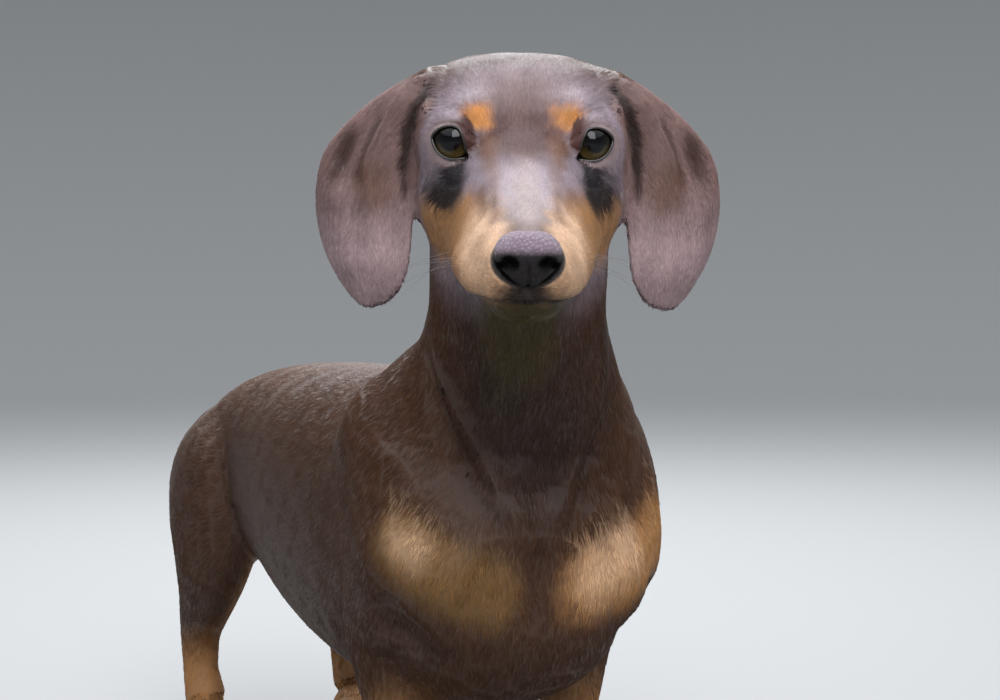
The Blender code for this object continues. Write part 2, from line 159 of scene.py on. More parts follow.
HINDLEG = (
    (22, 208, 150, 16, 26),
    (32, 204, 130, 22, 38),
    (38, 196, 108, 21, 34),
    (41, 196, 88, 17, 26),
    (40, 208, 68, 12.5, 18),
    (38, 222, 50, 9.5, 13),
    (38, 222, 32, 8.5, 10),
    (38, 214, 16, 10, 13),
)
TAIL = (
    (0, 228, 146, 10, 10),
    (0, 247, 142, 10.5, 11),
    (-2, 262, 128, 9, 9.5),
    (-5, 270, 108, 7.8, 8),
    (-9, 273, 86, 6.5, 6.6),
    (-13, 276, 66, 5.2, 5.3),
    (-17, 282, 48, 4.0, 4.1),
    (-20, 291, 36, 2.8, 2.9),
)

# Ear: x, y, z of its middle line, half width, and the turn of its width from the head's own X, in degrees.
EAR_LINE = (
    (24, 28, 20, 8, 86),
    (31, 28, 26, 9, 80),
    (38.5, 25, 21.5, 15.5, 68),
    (45.5, 25.5, 12, 19.3, 54),
    (52.4, 24.2, 0, 22.4, 44),
    (54, 21, -12, 21.9, 38),
    (54, 18.5, -23, 20.7, 36),
    (53, 16, -33, 18.2, 36),
    (52, 15, -40.5, 14, 36),
    (51.3, 14, -46, 8.5, 36),
    (51, 14, -48.7, 3, 36),
)
# The flesh at the bottom of the crease between the ear's front edge and the head, as a limb.
EAR_ROOT = (
    (26, 26, 16, 4, 5),
    (31.5, 20.5, 20, 4, 5),
    (34, 18.5, 12, 4, 5),
    (35, 17.5, 1, 4, 5),
    (35, 17, -9, 3.5, 4),
)
EAR_HALF_THICKNESS = 1.45
EAR_THINNING = 0.3
EAR_CUP = 0.16

# Forms of the ear's leaf: the share of the way down it, place across it from -1 by the face to 1, half
# length and half width in the same shares, and height.
EAR_FORMS = (
    (0.18, -0.50, 0.12, 0.17, 2.4),
    (0.32, -0.47, 0.12, 0.18, 3.0),
    (0.46, -0.40, 0.10, 0.20, 2.0),
    (0.32, -0.77, 0.18, 0.12, -1.8),
    (0.38, -1.00, 0.20, 0.12, 1.2),
    (0.41, 0.30, 0.07, 0.34, -3.6),
    (0.28, 0.10, 0.08, 0.30, -1.4),
    (0.31, 0.80, 0.08, 0.28, 1.4),
    (0.50, 0.40, 0.06, 0.45, 1.4),
    (0.68, -0.10, 0.17, 0.75, 2.8),
)

# Lumps that round off the head and chest: frame, place and radii, one on each side.
LUMPS = (
    ("body", (27, -30, 110), (24, 20, 28)),
    ("body", (9, -24, 152), (22, 26.5, 18)),
    ("head", (14, 12, 18), (12, 12, 9)),
    ("head", (29, 28, 23), (8, 12, 8.5)),
    ("head", (24, 14, 8), (12, 15, 15)),
    ("head", (25, 17, -8), (11, 22, 17)),
)

NOSE = (
    (-77, -7, -10.5, 3, 0.0),
    (-76, -4, -12.5, 7.2, 0.0),
    (-73, -0.5, -13.7, 10, 0.02),
    (-68, 1.5, -14, 10.6, 0.03),
    (-62, 0.5, -12.5, 9, 0.0),
    (-59, -3, -9, 5, 0.0),
)

EYE_RADIUS = 9.2
EYE_PLACE = (20.9, 7.3, 11)
EYE_TURN_OUT, EYE_TURN_UP = math.radians(17), math.radians(10)
LID_THICKNESS = 1.6

FOREPAW_PLACE = (39, -10, 7.4)
HINDPAW_PLACE = (39, 205, 7.2)
FOREPAW_TURN = math.radians(7)
TOE_PLACES = ((-10.4, -6), (-3.7, -14), (3.7, -14), (10.4, -6))
TOE_RADII = (5.6, 10, 8.2)
TOE_TURN = math.radians(-1.1)
PAD_RADII = (14, 15, 10.5)

# Fineness of the skin.
MASS_VOXEL, MASS_SMOOTHING = 2.0, 16
SKIN_VOXEL, SKIN_SMOOTHING = 1.0, 4
COARSE_TRIANGLES = 91000

# The face keeps its small triangles: ahead of this in its frame, above this and no further to the side.
FACE_BACK, FACE_LOW, FACE_SIDE, FACE_MARGIN = 20, -42, 40, 4
FACE_WEIGHT, EAR_WEIGHT, EAR_LOW = 0.0, 0.97, -54
SKIN_DEPTH = 0.35
SOLE = 0.2

# The bare rim of the lids: its distance from the eye's middle, radius, and share of the opening's size.
RIM_PLACE, RIM_RADIUS, RIM_SPREAD, RIM_FADE = 9.75, 0.42, 1.02, 0.06
RIM_POINTS, RIM_SIDES, PLUG_POINTS, LID_STEPS = 96, 10, 48, 24
PLUG_REACHES, SOCKET_GAP = (2.0, 8.0, 11.0, 16.0), 0.1

# The hollow in the muzzle that the nose sits in, and the bare skin round it.
NOSE_BED, NOSE_BED_RADII, NOSE_BED_DEPTH, NOSE_BED_EDGE = (0, -70, -6.5), (10.5, 12, 7.2), 6, (0.7, 1.0)
NOSE_RADII, NOSE_EDGE = (11.3, 11, 8.2), (0.94, 1.02)

# Points round a limb, how square it is, and the points along and across an ear.
LIMB_POINTS, LIMB_POWER = 32, 2.1
EAR_STEPS, EAR_POINTS = 4, 25

# The sides that a fold or a marking is on: both, the one it is drawn on, or the other.
BOTH, ONE, OTHER = (1, -1), (1,), (-1,)


def matrix_of_head():
    turn = Matrix.Rotation(HEAD_TURN, 4, "Z") @ Matrix.Rotation(HEAD_NOD, 4, "X")
    turn = turn @ Matrix.Rotation(HEAD_TILT, 4, "Y")
    return BODY @ Matrix.Translation(Vector(HEAD_PLACE) * U) @ turn @ Matrix.Scale(HEAD_SIZE, 4)


HEAD = matrix_of_head()
FRAMES = {"body": BODY, "head": HEAD}


def within(frame, points):
    """Points of the model, in metres, as units of one of the dog's frames."""
    inverse = np.array(frame.inverted())
    return (points @ inverse[:3, :3].T + inverse[:3, 3]) / U


def placed(frame, points):
    """Points of one of the dog's frames as metres of the model."""
    matrix = np.array(frame)
    return (np.asarray(points, float) * U) @ matrix[:3, :3].T + matrix[:3, 3]


def refined(rows, steps=8):
    """The rows with more between them, on a smooth curve through every value."""
    rows = np.array(rows, float)
    padded = np.vstack([2 * rows[0] - rows[1], rows, 2 * rows[-1] - rows[-2]])
    made = []
    for i in range(1, len(padded) - 2):
        a, b, c, d = padded[i - 1 : i + 3]
        for t in np.arange(steps) / steps:
            made.append(0.5 * (2 * b + (c - a) * t + (2 * a - 5 * b + 4 * c - d) * t**2
                               + (3 * b - a - 3 * c + d) * t**3))
    made.append(rows[-1])
    return np.array(made)


def rounded(count, power):
    """Points of a unit superellipse, as (sideways, upwards)."""
    turns = np.arange(count) * 2 * math.pi / count
    side, up = np.cos(turns), np.sin(turns)
    return np.sign(side) * np.abs(side) ** (2 / power), np.sign(up) * np.abs(up) ** (2 / power)


def show(obj):
    bpy.context.scene.collection.objects.link(obj)
    return obj


def object_of(bm, name, frame=Matrix.Identity(4)):
    bmesh.ops.transform(bm, matrix=frame, verts=bm.verts)
    bmesh.ops.recalc_face_normals(bm, faces=bm.faces)
    if bm.calc_volume(signed=True) < 0:
        bmesh.ops.reverse_faces(bm, faces=bm.faces)
    mesh = bpy.data.meshes.new(name)
    bm.to_mesh(mesh)
    bm.free()
    return show(bpy.data.objects.new(name, mesh))


def loft(name, rings, frame=BODY, ends=(0, -1)):
    """A body through rings of points, closed at the given ends, or joined to a hoop where none is given."""
    bm = bmesh.new()
    made = [[bm.verts.new(Vector(p) * U) for p in ring] for ring in rings]
    for low, high in zip(made, made[1:] + ([] if ends else made[:1])):
        for i in range(len(low)):
            j = (i + 1) % len(low)
            bm.faces.new((low[i], low[j], high[j], high[i]))
    for end in ends:
        bm.faces.new(made[end])
    return object_of(bm, name, frame)


def tube(name, line, radii, sides, frame, flat=1.0):
    """A tube along a line, with a radius at each of its points, squeezed sideways to the given share."""
    along = unit(np.gradient(line, axis=0))
    side = unit(np.cross(along, (0, 0, 1)))
    up = np.cross(side, along)
    turns = np.arange(sides) * 2 * math.pi / sides
    rings = []
    for place, out, rise, radius in zip(line, side, up, radii):
        ring = np.outer(np.cos(turns) * flat, out) + np.outer(np.sin(turns), rise)
        rings.append(place + ring * radius)
    return loft(name, rings, frame)


def lengthwise(name, rows, frame=BODY, middle=0.55, power=2.3, count=64):
    """A body along Y. Rows are y, top, bottom, half width and, where given, taper."""
    side, up = rounded(count, power)
    rings = []
    for row in refined(rows):
        y, top, bottom, half_width = row[:4]
        taper = row[4] if len(row) > 4 else 0.0
        level = bottom + middle * (top - bottom)
        z = level + np.where(up > 0, up * (top - level), up * (level - bottom))
        x = side * half_width * (1 - taper * up)
        rings.append(np.stack([x, np.full(count, y), z], 1))
    return loft(name, rings, frame)


def limb(name, rows, side_sign=1, frame=BODY):
    """A body along a path. Rows are x, y, z, half thickness to the side and front to back."""
    rows = refined(rows)
    rows[:, 0] *= side_sign
    places = rows[:, :3]
    side, front = rounded(LIMB_POINTS, LIMB_POWER)
    rings = []
    for place, heading, (half_side, half_front) in zip(places, np.gradient(places, axis=0), rows[:, 3:]):
        forward = unit(np.cross(unit(heading), (1, 0, 0)))
        across = np.cross(forward, unit(heading))
        rings.append(place + np.outer(side * half_side, across) + np.outer(front * half_front, forward))
    return loft(name, rings, frame)


def ellipsoid(name, place, radii, frame=BODY, turn=(0, 0, 0), segments=40):
    bm = bmesh.new()
    bmesh.ops.create_uvsphere(bm, u_segments=segments, v_segments=segments // 2, radius=1)
    local = Matrix.LocRotScale(Vector(place) * U, Euler(turn), Vector(radii) * U)
    return object_of(bm, name, frame @ local)


def apply_modifiers(obj):
    graph = bpy.context.evaluated_depsgraph_get()
    mesh = bpy.data.meshes.new_from_object(obj.evaluated_get(graph))
    obj.modifiers.clear()
    obj.data = mesh
    return obj


def remove(*objects):
    for obj in objects:
        bpy.data.objects.remove(obj, do_unlink=True)


def joined(name, pieces):
    """One object of all the pieces' faces."""
    bm = bmesh.new()
    for piece in pieces:
        bm.from_mesh(piece.data)
    remove(*pieces)
    return object_of(bm, name)


def fuse(name, pieces, voxel, smoothing):
    """One closed skin round all the pieces, with the creases between them smoothed out."""
    fused = joined(name, pieces)
    remesh = fused.modifiers.new("Remesh", "REMESH")
    remesh.mode = "VOXEL"
    remesh.voxel_size = voxel * U
    smooth = fused.modifiers.new("Smooth", "SMOOTH")
    smooth.factor = 0.5
    smooth.iterations = smoothing
    return apply_modifiers(fused)


def cut(target, cutters):
    """Takes closed mesh objects away from the target, and removes them."""
    tools = bpy.data.collections.new("tools")
    bpy.context.scene.collection.children.link(tools)
    for cutter in cutters:
        bpy.context.scene.collection.objects.unlink(cutter)
        tools.objects.link(cutter)
    step = target.modifiers.new("Boolean", "BOOLEAN")
    step.operand_type = "COLLECTION"
    step.collection = tools
    step.operation = "DIFFERENCE"
    step.solver = "MANIFOLD"
    apply_modifiers(target)
    remove(*list(tools.objects))
    bpy.data.collections.remove(tools)


def eye_frame(sign):
    """At the middle of the eyeball, with -Y the way that the eye looks."""
    place = Matrix.Translation(Vector((sign * EYE_PLACE[0], *EYE_PLACE[1:])) * U)
    turn = Matrix.Rotation(sign * EYE_TURN_OUT, 4, "Z") @ Matrix.Rotation(-EYE_TURN_UP, 4, "X")
    return HEAD @ place @ turn


def forelimb_frame(sign):
    return BODY @ Matrix.Translation((FORELIMB_SHIFT[sign] * U, 0, 0))


def shoulder_rows(sign):
    """The shoulder of one side, which leans out above the elbow."""
    return [(x + SHOULDER_LEAN[sign] * (z > ELBOW_TOP), y, z, *half) for x, y, z, *half in SHOULDER]


def masses():
    """The large forms of the body, fused and smoothed."""
    pieces = [
        lengthwise("trunk", TRUNK),
        limb("neck", NECK),
        lengthwise("skull", SKULL, HEAD, power=2.8),
        lengthwise("muzzle", MUZZLE, HEAD, middle=0.4, power=2.5),
        lengthwise("jaw", JAW, HEAD, power=2.4),
        limb("tail", TAIL),
    ]
    for sign in SIDES.values():
        pieces += [limb("limb", rows, sign, forelimb_frame(sign)) for rows in (shoulder_rows(sign), FORELEG)]
        pieces.append(limb("limb", HINDLEG, sign))
        for owner, place, radii in LUMPS:
            pieces.append(ellipsoid("lump", (sign * place[0], *place[1:]), radii, FRAMES[owner]))
    return fuse("masses", pieces, MASS_VOXEL, MASS_SMOOTHING)


def paw_frame(place, sign, turn):
    frame = forelimb_frame(sign) if place == FOREPAW_PLACE else BODY
    middle = Matrix.Translation(Vector(mirrored(place, sign)) * U)
    return frame @ middle @ Matrix.Rotation(sign * turn, 4, "Z")


def paw(place, sign, turn):
    frame = paw_frame(place, sign, turn)
    pieces = [ellipsoid("pad", (0, 2, 1), PAD_RADII, frame)]
    for x, y in TOE_PLACES:
        pieces.append(ellipsoid("toe", (x, y, -1), TOE_RADII, frame, (0, 0, TOE_TURN * x)))
    return pieces


def leaf_height(along, across):
    """How far the ear's forms stand out from its plain leaf."""
    total = 0
    for down, out, half_length, half_width, height in EAR_FORMS:
        total += height * np.exp(-(((along - down) / half_length) ** 2) - ((across - out) / half_width) ** 2)
    return total


def ear(sign):
    """The leaf of one ear, cupped towards the cheek and thinner at its edges."""
    rows = refined(EAR_LINE, EAR_STEPS)
    rings = []
    for index, (row, heading) in enumerate(zip(rows, np.gradient(rows[:, :3], axis=0))):
        turn = math.radians(row[4])
        across = Vector((math.cos(turn), math.sin(turn), 0))
        outward = Vector(np.cross(across, heading)).normalized()
        outward *= math.copysign(1, outward.x)
        outer, inner = [], []
        for s in np.linspace(-1, 1, EAR_POINTS):
            lift = EAR_CUP * row[3] * (1 - 2 * s * s) + leaf_height(index / (len(rows) - 1), s)
            middle = Vector(row[:3]) + across * s * row[3] + outward * lift
            thin = EAR_HALF_THICKNESS * (1.0 - EAR_THINNING * s * s)
            outer.append(middle + outward * thin)
            inner.append(middle - outward * thin)
        rings.append([(sign * p.x, p.y, p.z) for p in outer + inner[::-1]])
    return loft("ear", rings, HEAD)


def skin_body():
    """The whole animal fused to one skin."""
    pieces = [masses()]
    lid = (EYE_RADIUS + LID_THICKNESS,) * 3
    for sign in SIDES.values():
        pieces += paw(FOREPAW_PLACE, sign, FOREPAW_TURN) + paw(HINDPAW_PLACE, sign, 0.0)
        pieces += [ear(sign), limb("ear root", EAR_ROOT, sign, HEAD)]
        pieces.append(ellipsoid("lids", (0, 0, 0), lid, eye_frame(sign), segments=64))
    return fuse("skin", pieces, SKIN_VOXEL, SKIN_SMOOTHING)


def replaced_mesh(obj, bm):
    bm.to_mesh(obj.data)
    bm.free()
    return obj


def fewer_faces(obj):
    """Thins the skin out, least of all on the face, which is then split finer."""
    detail = obj.vertex_groups.new(name="plain")
    places = within(HEAD, coordinates(obj.data))
    for index, (side, along, up) in enumerate(places):
        face = along < FACE_BACK and up > FACE_LOW and abs(side) < FACE_SIDE
        leaf = abs(side) > FACE_SIDE and up > EAR_LOW
        detail.add([index], FACE_WEIGHT if face else EAR_WEIGHT if leaf else 1.0, "REPLACE")
    fewer = obj.modifiers.new("Decimate", "DECIMATE")
    fewer.vertex_group = detail.name
    fewer.vertex_group_factor = 1.0
    fewer.ratio = COARSE_TRIANGLES / (2 * len(obj.data.polygons))
    apply_modifiers(obj)
    obj.vertex_groups.clear()
    bm = bmesh.new()
    bm.from_mesh(obj.data)
    inverse = HEAD.inverted()
    edges = []
    for edge in bm.edges:
        side, along, up = (inverse @ ((edge.verts[0].co + edge.verts[1].co) / 2)) / U
        if along < FACE_BACK - FACE_MARGIN and up > FACE_LOW and abs(side) < FACE_SIDE:
            edges.append(edge)
    bmesh.ops.subdivide_edges(bm, edges=edges, cuts=1, smooth=1.0)
    bmesh.ops.triangulate(bm, faces=bm.faces)
    return replaced_mesh(obj, bm)


def read(items, name, kind=float):
    """One property of every item of a mesh, of three values each."""
    values = np.empty(len(items) * 3, kind)
    items.foreach_get(name, values)
    return values.reshape(-1, 3)


def coordinates(mesh):
    return read(mesh.vertices, "co")


def vertex_normals(mesh):
    return read(mesh.vertices, "normal")


def corners(mesh):
    mesh.calc_loop_triangles()
    return read(mesh.loop_triangles, "vertices", int)


def triangle_areas(co, triangles):
    a, b, c = (co[triangles[:, i]] for i in range(3))
    return np.linalg.norm(np.cross(b - a, c - a), axis=1) / 2


def move_to(mesh, co):
    mesh.vertices.foreach_set("co", co.ravel())
    mesh.update()


def near_path(points, path):
    """Each point's distance from a polyline, how far along it the nearest place is, its heading and place."""
    best = np.full(len(points), np.inf)
    along = np.zeros(len(points))
    heading, nearest = np.zeros((2, len(points), 3))
    for i, (start, end) in enumerate(zip(path, path[1:])):
        step = end - start
        t = np.clip(((points - start) @ step) / (step @ step), 0, 1)
        place = start + t[:, None] * step
        away = np.linalg.norm(points - place, axis=1)
        closer = away < best
        best[closer] = away[closer]
        along[closer] = (i + t[closer]) / (len(path) - 1)
        heading[closer] = step / np.linalg.norm(step)
        nearest[closer] = place[closer]
    return best, along, heading, nearest


def smoothstep(low, high, x):
    t = np.clip((x - low) / (high - low), 0, 1)
    return t * t * (3 - 2 * t)


def unit(vectors):
    return vectors / np.maximum(np.linalg.norm(vectors, axis=-1, keepdims=True), 1e-12)


RIPPLE_WAVES, RIPPLE_HEIGHT = 5, 0.8


def ripple(points, size, seed):
    """A smooth, uneven value of about -1 to 1 that varies over the given length."""
    draw = np.random.default_rng(seed)
    total = np.zeros(len(points))
    for _ in range(RIPPLE_WAVES):
        way = unit(draw.normal(size=3)) * 2 * math.pi / size
        total += np.sin(points @ way + draw.uniform(0, 2 * math.pi))
    return total / math.sqrt(RIPPLE_WAVES) * RIPPLE_HEIGHT


def on_skin(tree, points):
    """The nearest places of the skin, and the triangle of each."""
    found = [tree.find_nearest(p) for p in points]
    return np.array([f[0] for f in found]), np.array([f[2] for f in found])


def smooth_normals(skin, places, faces):
    """The normals at places of the given triangles, blended between their corners."""
    co, normals = coordinates(skin.data), vertex_normals(skin.data)
    index = corners(skin.data)[faces]
    total = 0
    for i in range(3):
        second, third = (co[index[:, (i + step) % 3]] - places for step in (1, 2))
        total = total + np.linalg.norm(np.cross(second, third), axis=1)[:, None] * normals[index[:, i]]
    return unit(total)


# The line of the shut mouth and of the flew beside it, and the cords down the neck.
MOUTH = ((0, -73, -19.8), (7, -71.5, -20.2), (12, -68, -20.8), (16, -60, -22), (17.6, -50, -23),
         (18.6, -38, -23.6), (19.5, -26, -23.5))
FLEW = ((14, -66, -13), (17.5, -57, -15), (19.5, -45, -16), (21, -32, -15))
NECK_CORDS = (
    ((-33, -22, 206), (-35.4, -32, 187), (-32, -42, 170), (-24, -46, 152), (-15, -52, 134), (-10, -52, 116)),
    ((20, -55, 206), (17, -57, 184), (14, -53, 165), (8, -50, 149), (0, -53, 134), (-4, -53, 116)),
)

# Folds pressed into the skin or raised from it, by frame: path, width, height, and the sides they are on.
FOLDS = {
    "head": (
        (MOUTH, 0.9, -3.0, BOTH),
        (((0, -73, -17), (8, -71, -17.2), (14, -64, -17.5), (18, -52, -19), (20, -38, -20)), 2.6, 0.9, BOTH),
        (((0, -66, -24.5), (7, -65, -24.5), (11, -59, -25)), 2.0, 0.7, BOTH),
        (((0, -40, 9), (0, -26, 11), (0, -12, 16), (0, 2, 22), (0, 16, 29)), 4.0, -0.6, ONE),
        (((8, -58, 3), (9, -44, 6), (10, -30, 9)), 2.5, 0.7, BOTH),
        (((14, -50, -1), (16, -36, 2), (18, -24, 4)), 3.5, -0.8, BOTH),
        (((13, -9, 12), (15, -6, 15.5), (20, -3, 18.6), (26, 1, 18), (30, 6, 14)), 1.1, -0.5, BOTH),
        (((13, -13, 5), (18, -12, 1.5), (25, -7, 0), (31, 1, 3)), 1.4, -0.5, BOTH),
        (((27, 27, 30), (31, 18, 26), (35.5, 13.5, 17), (37.5, 12, 4), (38, 11, -9), (38, 10, -16)), 1.8,
         -0.8, BOTH),
        (FLEW, 6.5, 0.6, ONE),
        (FLEW, 6.5, 2.0, OTHER),
    ),
    "body": (
        (NECK_CORDS[0], 3.4, 2.0, ONE),
        (NECK_CORDS[1], 3.4, 2.0, ONE),
        (((-40, -14, 204), (-43, -26, 187), (-40, -37, 169), (-32, -44, 152), (-22, -50, 134)), 4.5, -2.0,
         ONE),
        (((27, -46, 204), (26, -49, 186), (22, -50, 166), (17, -50, 151), (7, -53, 136)), 4.5, -2.0, ONE),
        (((-50, -20, 168), (-50, -28, 150), (-44, -40, 135)), 12.0, 2.4, ONE),
        (((36, -34, 172), (38, -40, 154), (34, -44, 138)), 12.0, 2.4, ONE),
        (((-8, -52, 130), (-8, -53, 114), (-8, -50, 92)), 5.0, -3.0, ONE),
        (((-44, -42, 120), (-30, -48, 114)), 12.0, 2.8, ONE),
        (((22, -50, 114), (38, -46, 118)), 12.0, 2.8, ONE),
        (((-58, -12, 98), (-50, -26, 92), (-36, -38, 90)), 7.0, -2.4, ONE),
        (((56, -14, 98), (44, -30, 92), (26, -40, 90)), 7.0, -2.4, ONE),
    ),
}
# A fold fades out over this share of its length at each end, but one that starts in the body's middle is
# whole there, and fades out all along, up to the last share. It's cut off this many widths from its line, and
# drawn in this many steps from point to point.
FOLD_END, FOLD_LAST, FOLD_REACH, FOLD_STEPS = 0.3, 0.96, 3, 4

# The skin round the eye is this high over the ball at the edge of the opening, and rises by the slope from
# there, with a soft blend, as far as the reach from the ball.
LID_HEIGHT, LID_SLOPE, LID_BLEND, LID_REACH = 1.3, 0.9, 0.8, 9


def drawn_to_lids(points):
    """The skin round each eye, drawn down towards its ball, so that the opening's edge is thin all round."""
    away, _, _ = from_lids(points)
    for sign in SIDES.values():
        local = within(eye_frame(sign), points)
        reach = np.linalg.norm(local, axis=1)
        near = (reach < EYE_RADIUS + LID_REACH) & (local[:, 1] < 0)
        reach = reach[near]
        limit = EYE_RADIUS + LID_HEIGHT + LID_SLOPE * np.maximum(away[near], 0)
        lower = (reach + limit - np.sqrt((reach - limit) ** 2 + LID_BLEND**2)) / 2
        share = 1 - smoothstep(LID_REACH / 2, LID_REACH, reach - EYE_RADIUS)
        local[near] *= (1 - share * (1 - lower / reach))[:, None]
        points = placed(eye_frame(sign), local)
    return points


def fold(obj, part):
    """Moves the skin in and out by the height of each fold of the body or of the head."""
    co, normals = coordinates(obj.data), vertex_normals(obj.data)
    tree = BVHTree.FromPolygons(co, [tuple(p.vertices) for p in obj.data.polygons])
    out = np.zeros_like(co)
    for path, width, height, signs in FOLDS[part]:
        for sign in signs:
            spline = placed(FRAMES[part], refined(mirrored(path, sign), FOLD_STEPS))
            spline, _ = on_skin(tree, spline)
            reach = FOLD_REACH * width * U
            close = np.all((co > spline.min(0) - reach) & (co < spline.max(0) + reach), axis=1)
            away, along, *_ = near_path(co[close], spline)
            ends = smoothstep(0, FOLD_END, along) * smoothstep(1, 1 - FOLD_END, along)
            if path[0][0] == 0:
                ends = np.sqrt(np.cos(math.pi / 2 * np.clip(along, 0, FOLD_LAST)))
            amount = height * U * ends * np.exp(-((away / (width * U)) ** 2))
            out[close] += normals[close] * amount[:, None]
    move_to(obj.data, co + out)
    return obj


def settle(obj):
    """Draws the skin in by the coat's depth, hollows the nose's bed and levels the soles."""
    co = coordinates(obj.data) - SKIN_DEPTH * U * vertex_normals(obj.data)
    inside = np.linalg.norm((within(HEAD, co) - NOSE_BED) / NOSE_BED_RADII, axis=1)
    hollow = 1 - smoothstep(*NOSE_BED_EDGE, inside)
    inward = np.array(HEAD)[:3, 1] / HEAD_SIZE
    co = drawn_to_lids(co + inward * (NOSE_BED_DEPTH * U * hollow)[:, None])
    co[:, 2] = np.maximum(co[:, 2], SOLE * U)
    move_to(obj.data, co)
    return obj


# The edge of the eye's opening, seen along the eye: out from its middle, away from the nose, and up.
LID_LINE = ((6.2, 0.2), (4.7, 2.5), (2.5, 3.9), (-0.1, 4.4), (-2.4, 3.7), (-4.0, 0.9), (-5.0, -2.5),
            (-5.9, -4.5), (-3.8, -5.1), (-1.0, -5.5), (1.7, -5.1), (4.2, -3.5))


def lid_line(count, spread=1.0):
    """The edge of the eye's opening, as evenly spread directions in the eye's frame, with the nose at -X."""
    rows = np.array(LID_LINE + LID_LINE[:3]) * spread
    curve = refined(rows, LID_STEPS)[LID_STEPS : -LID_STEPS - 1]
    steps = np.concatenate([[0], np.cumsum(np.linalg.norm(np.diff(curve, axis=0), axis=1))])
    even = np.linspace(0, steps[-1], count, endpoint=False)
    x, z = np.interp(even, steps, curve[:, 0]), np.interp(even, steps, curve[:, 1])
    return unit(np.stack([x, -np.sqrt(EYE_RADIUS**2 - x**2 - z**2), z], 1))


def mirrored(points, sign):
    return points * np.array([sign, 1, 1])


def opening(sign):
    """A flared plug that cuts the opening between the lids, and the ball of the socket behind it."""
    line = mirrored(lid_line(PLUG_POINTS), sign)
    plug = loft("opening", [line * reach for reach in PLUG_REACHES], eye_frame(sign))
    ball = (EYE_RADIUS + SOCKET_GAP,) * 3
    return [plug, ellipsoid("socket", (0, 0, 0), ball, eye_frame(sign), segments=64)]


def lid_rim(side, sign):
    """The bare edge of both lids, darkest where it meets the eye."""
    line = mirrored(lid_line(RIM_POINTS, RIM_SPREAD), sign)
    across = unit(np.cross(unit(np.roll(line, -1, 0) - np.roll(line, 1, 0)), line))
    turns = np.arange(RIM_SIDES) * 2 * math.pi / RIM_SIDES
    rings = [p * RIM_PLACE + RIM_RADIUS * (np.outer(np.cos(turns), p) + np.outer(np.sin(turns), a))
             for p, a in zip(line, across)]
    rim = loft("lid_rim_" + side, rings, eye_frame(sign), ends=())
    local = within(eye_frame(sign), coordinates(rim.data))
    middle = unit(line.mean(0))
    off_axis = np.arccos(np.clip(unit(local) @ middle, -1, 1))
    rim_off = np.repeat(np.arccos(np.clip(line @ middle, -1, 1)), RIM_SIDES)
    outer = smoothstep(0.0, RIM_FADE, off_axis - rim_off)
    return dress(rim, mix_colour("rim_dark", "shade", outer), rim_material(), "eye")


def tone(name):
    return np.array([COLOURS[name]])


def mix_colour(first, second, share):
    return blend_colour(tone(first), tone(second), share)


def blend_colour(first, second, share):
    share = np.asarray(share)[:, None]
    return first * (1 - share) + second * share


def dress(obj, colours, material, slot, *nodes):
    """Gives a piece its colours and material, puts it on the root body and hides the parts it stands for."""
    paint(obj.data, colours)
    obj.data.shade_smooth()
    obj.data.materials.clear()
    obj.data.materials.append(material)
    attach(obj, "root")
    if nodes:
        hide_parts(*nodes)
    return obj


def paint(mesh, colours):
    """Gives each vertex its colour."""
    layer = mesh.color_attributes.new("coat", "FLOAT_COLOR", "POINT")
    rgba = np.ones((len(mesh.vertices), 4))
    rgba[:, :3] = colours
    layer.data.foreach_set("color", rgba.ravel())


# Colours, linear.
COLOURS = {
    "chocolate": (0.060, 0.026, 0.013),
    # Painted shadow, near black.
    "deep_shadow": (0.02, 0.01, 0.007),
    # Painted sky sheen: the pale lilac light on the head's top, over its chocolate coat.
    "crown_sky_sheen": (0.245, 0.19, 0.215),
    "ear": (0.185, 0.112, 0.102),
    # Painted shade for the hollows of the ear's leaf.
    "ear_hollow_shade": (0.050, 0.026, 0.020),
    # Painted sheen of light on the ear's lower half, which faces up and out.
    "ear_lower_sheen": (0.38, 0.265, 0.275),
    "forehead": (0.160, 0.100, 0.088),
    # Painted shadow below the eyes.
    "under_eye_shadow": (0.008, 0.006, 0.007),
    "shade": (0.055, 0.012, 0.007),
    # Tan in painted shade, for under the jaw.
    "tan_in_shadow": (0.062, 0.042, 0.010),
    "tan": (0.36, 0.175, 0.065),
    # Tan in painted half shade, for the chest patch on the dog's right.
    "tan_in_half_shadow": (0.165, 0.086, 0.028),
    # Painted highlight on the tan chest patches.
    "tan_highlight": (0.70, 0.44, 0.26),
    "amber": (0.52, 0.21, 0.050),
    "cream": (0.66, 0.43, 0.28),
    # Painted sky sheen on the top of the muzzle, lit from overhead.
    "bridge_sky_sheen": (0.27, 0.205, 0.195),
    "rust": (0.13, 0.055, 0.024),
    # The nose's colour, made pale lilac as a painted sky sheen on its top.
    "leather": (0.26, 0.19, 0.23),
    # Painted shadow for the nose's lower front.
    "leather_in_shadow": (0.006, 0.004, 0.004),
    # Dark lip skin, also used for painted shadow under the nose and in the mouth's crease.
    "lip_and_shadow": (0.018, 0.011, 0.009),
    "rim": (0.24, 0.175, 0.175),
    "rim_dark": (0.012, 0.008, 0.008),
    "horn": (0.060, 0.035, 0.025),
    "whisker": (0.16, 0.13, 0.11),
    "pupil": (0.002, 0.002, 0.003),
    "iris": (0.062, 0.042, 0.013),
    "iris_ring": (0.004, 0.003, 0.002),
    "eye_white": (0.05, 0.035, 0.03),
}

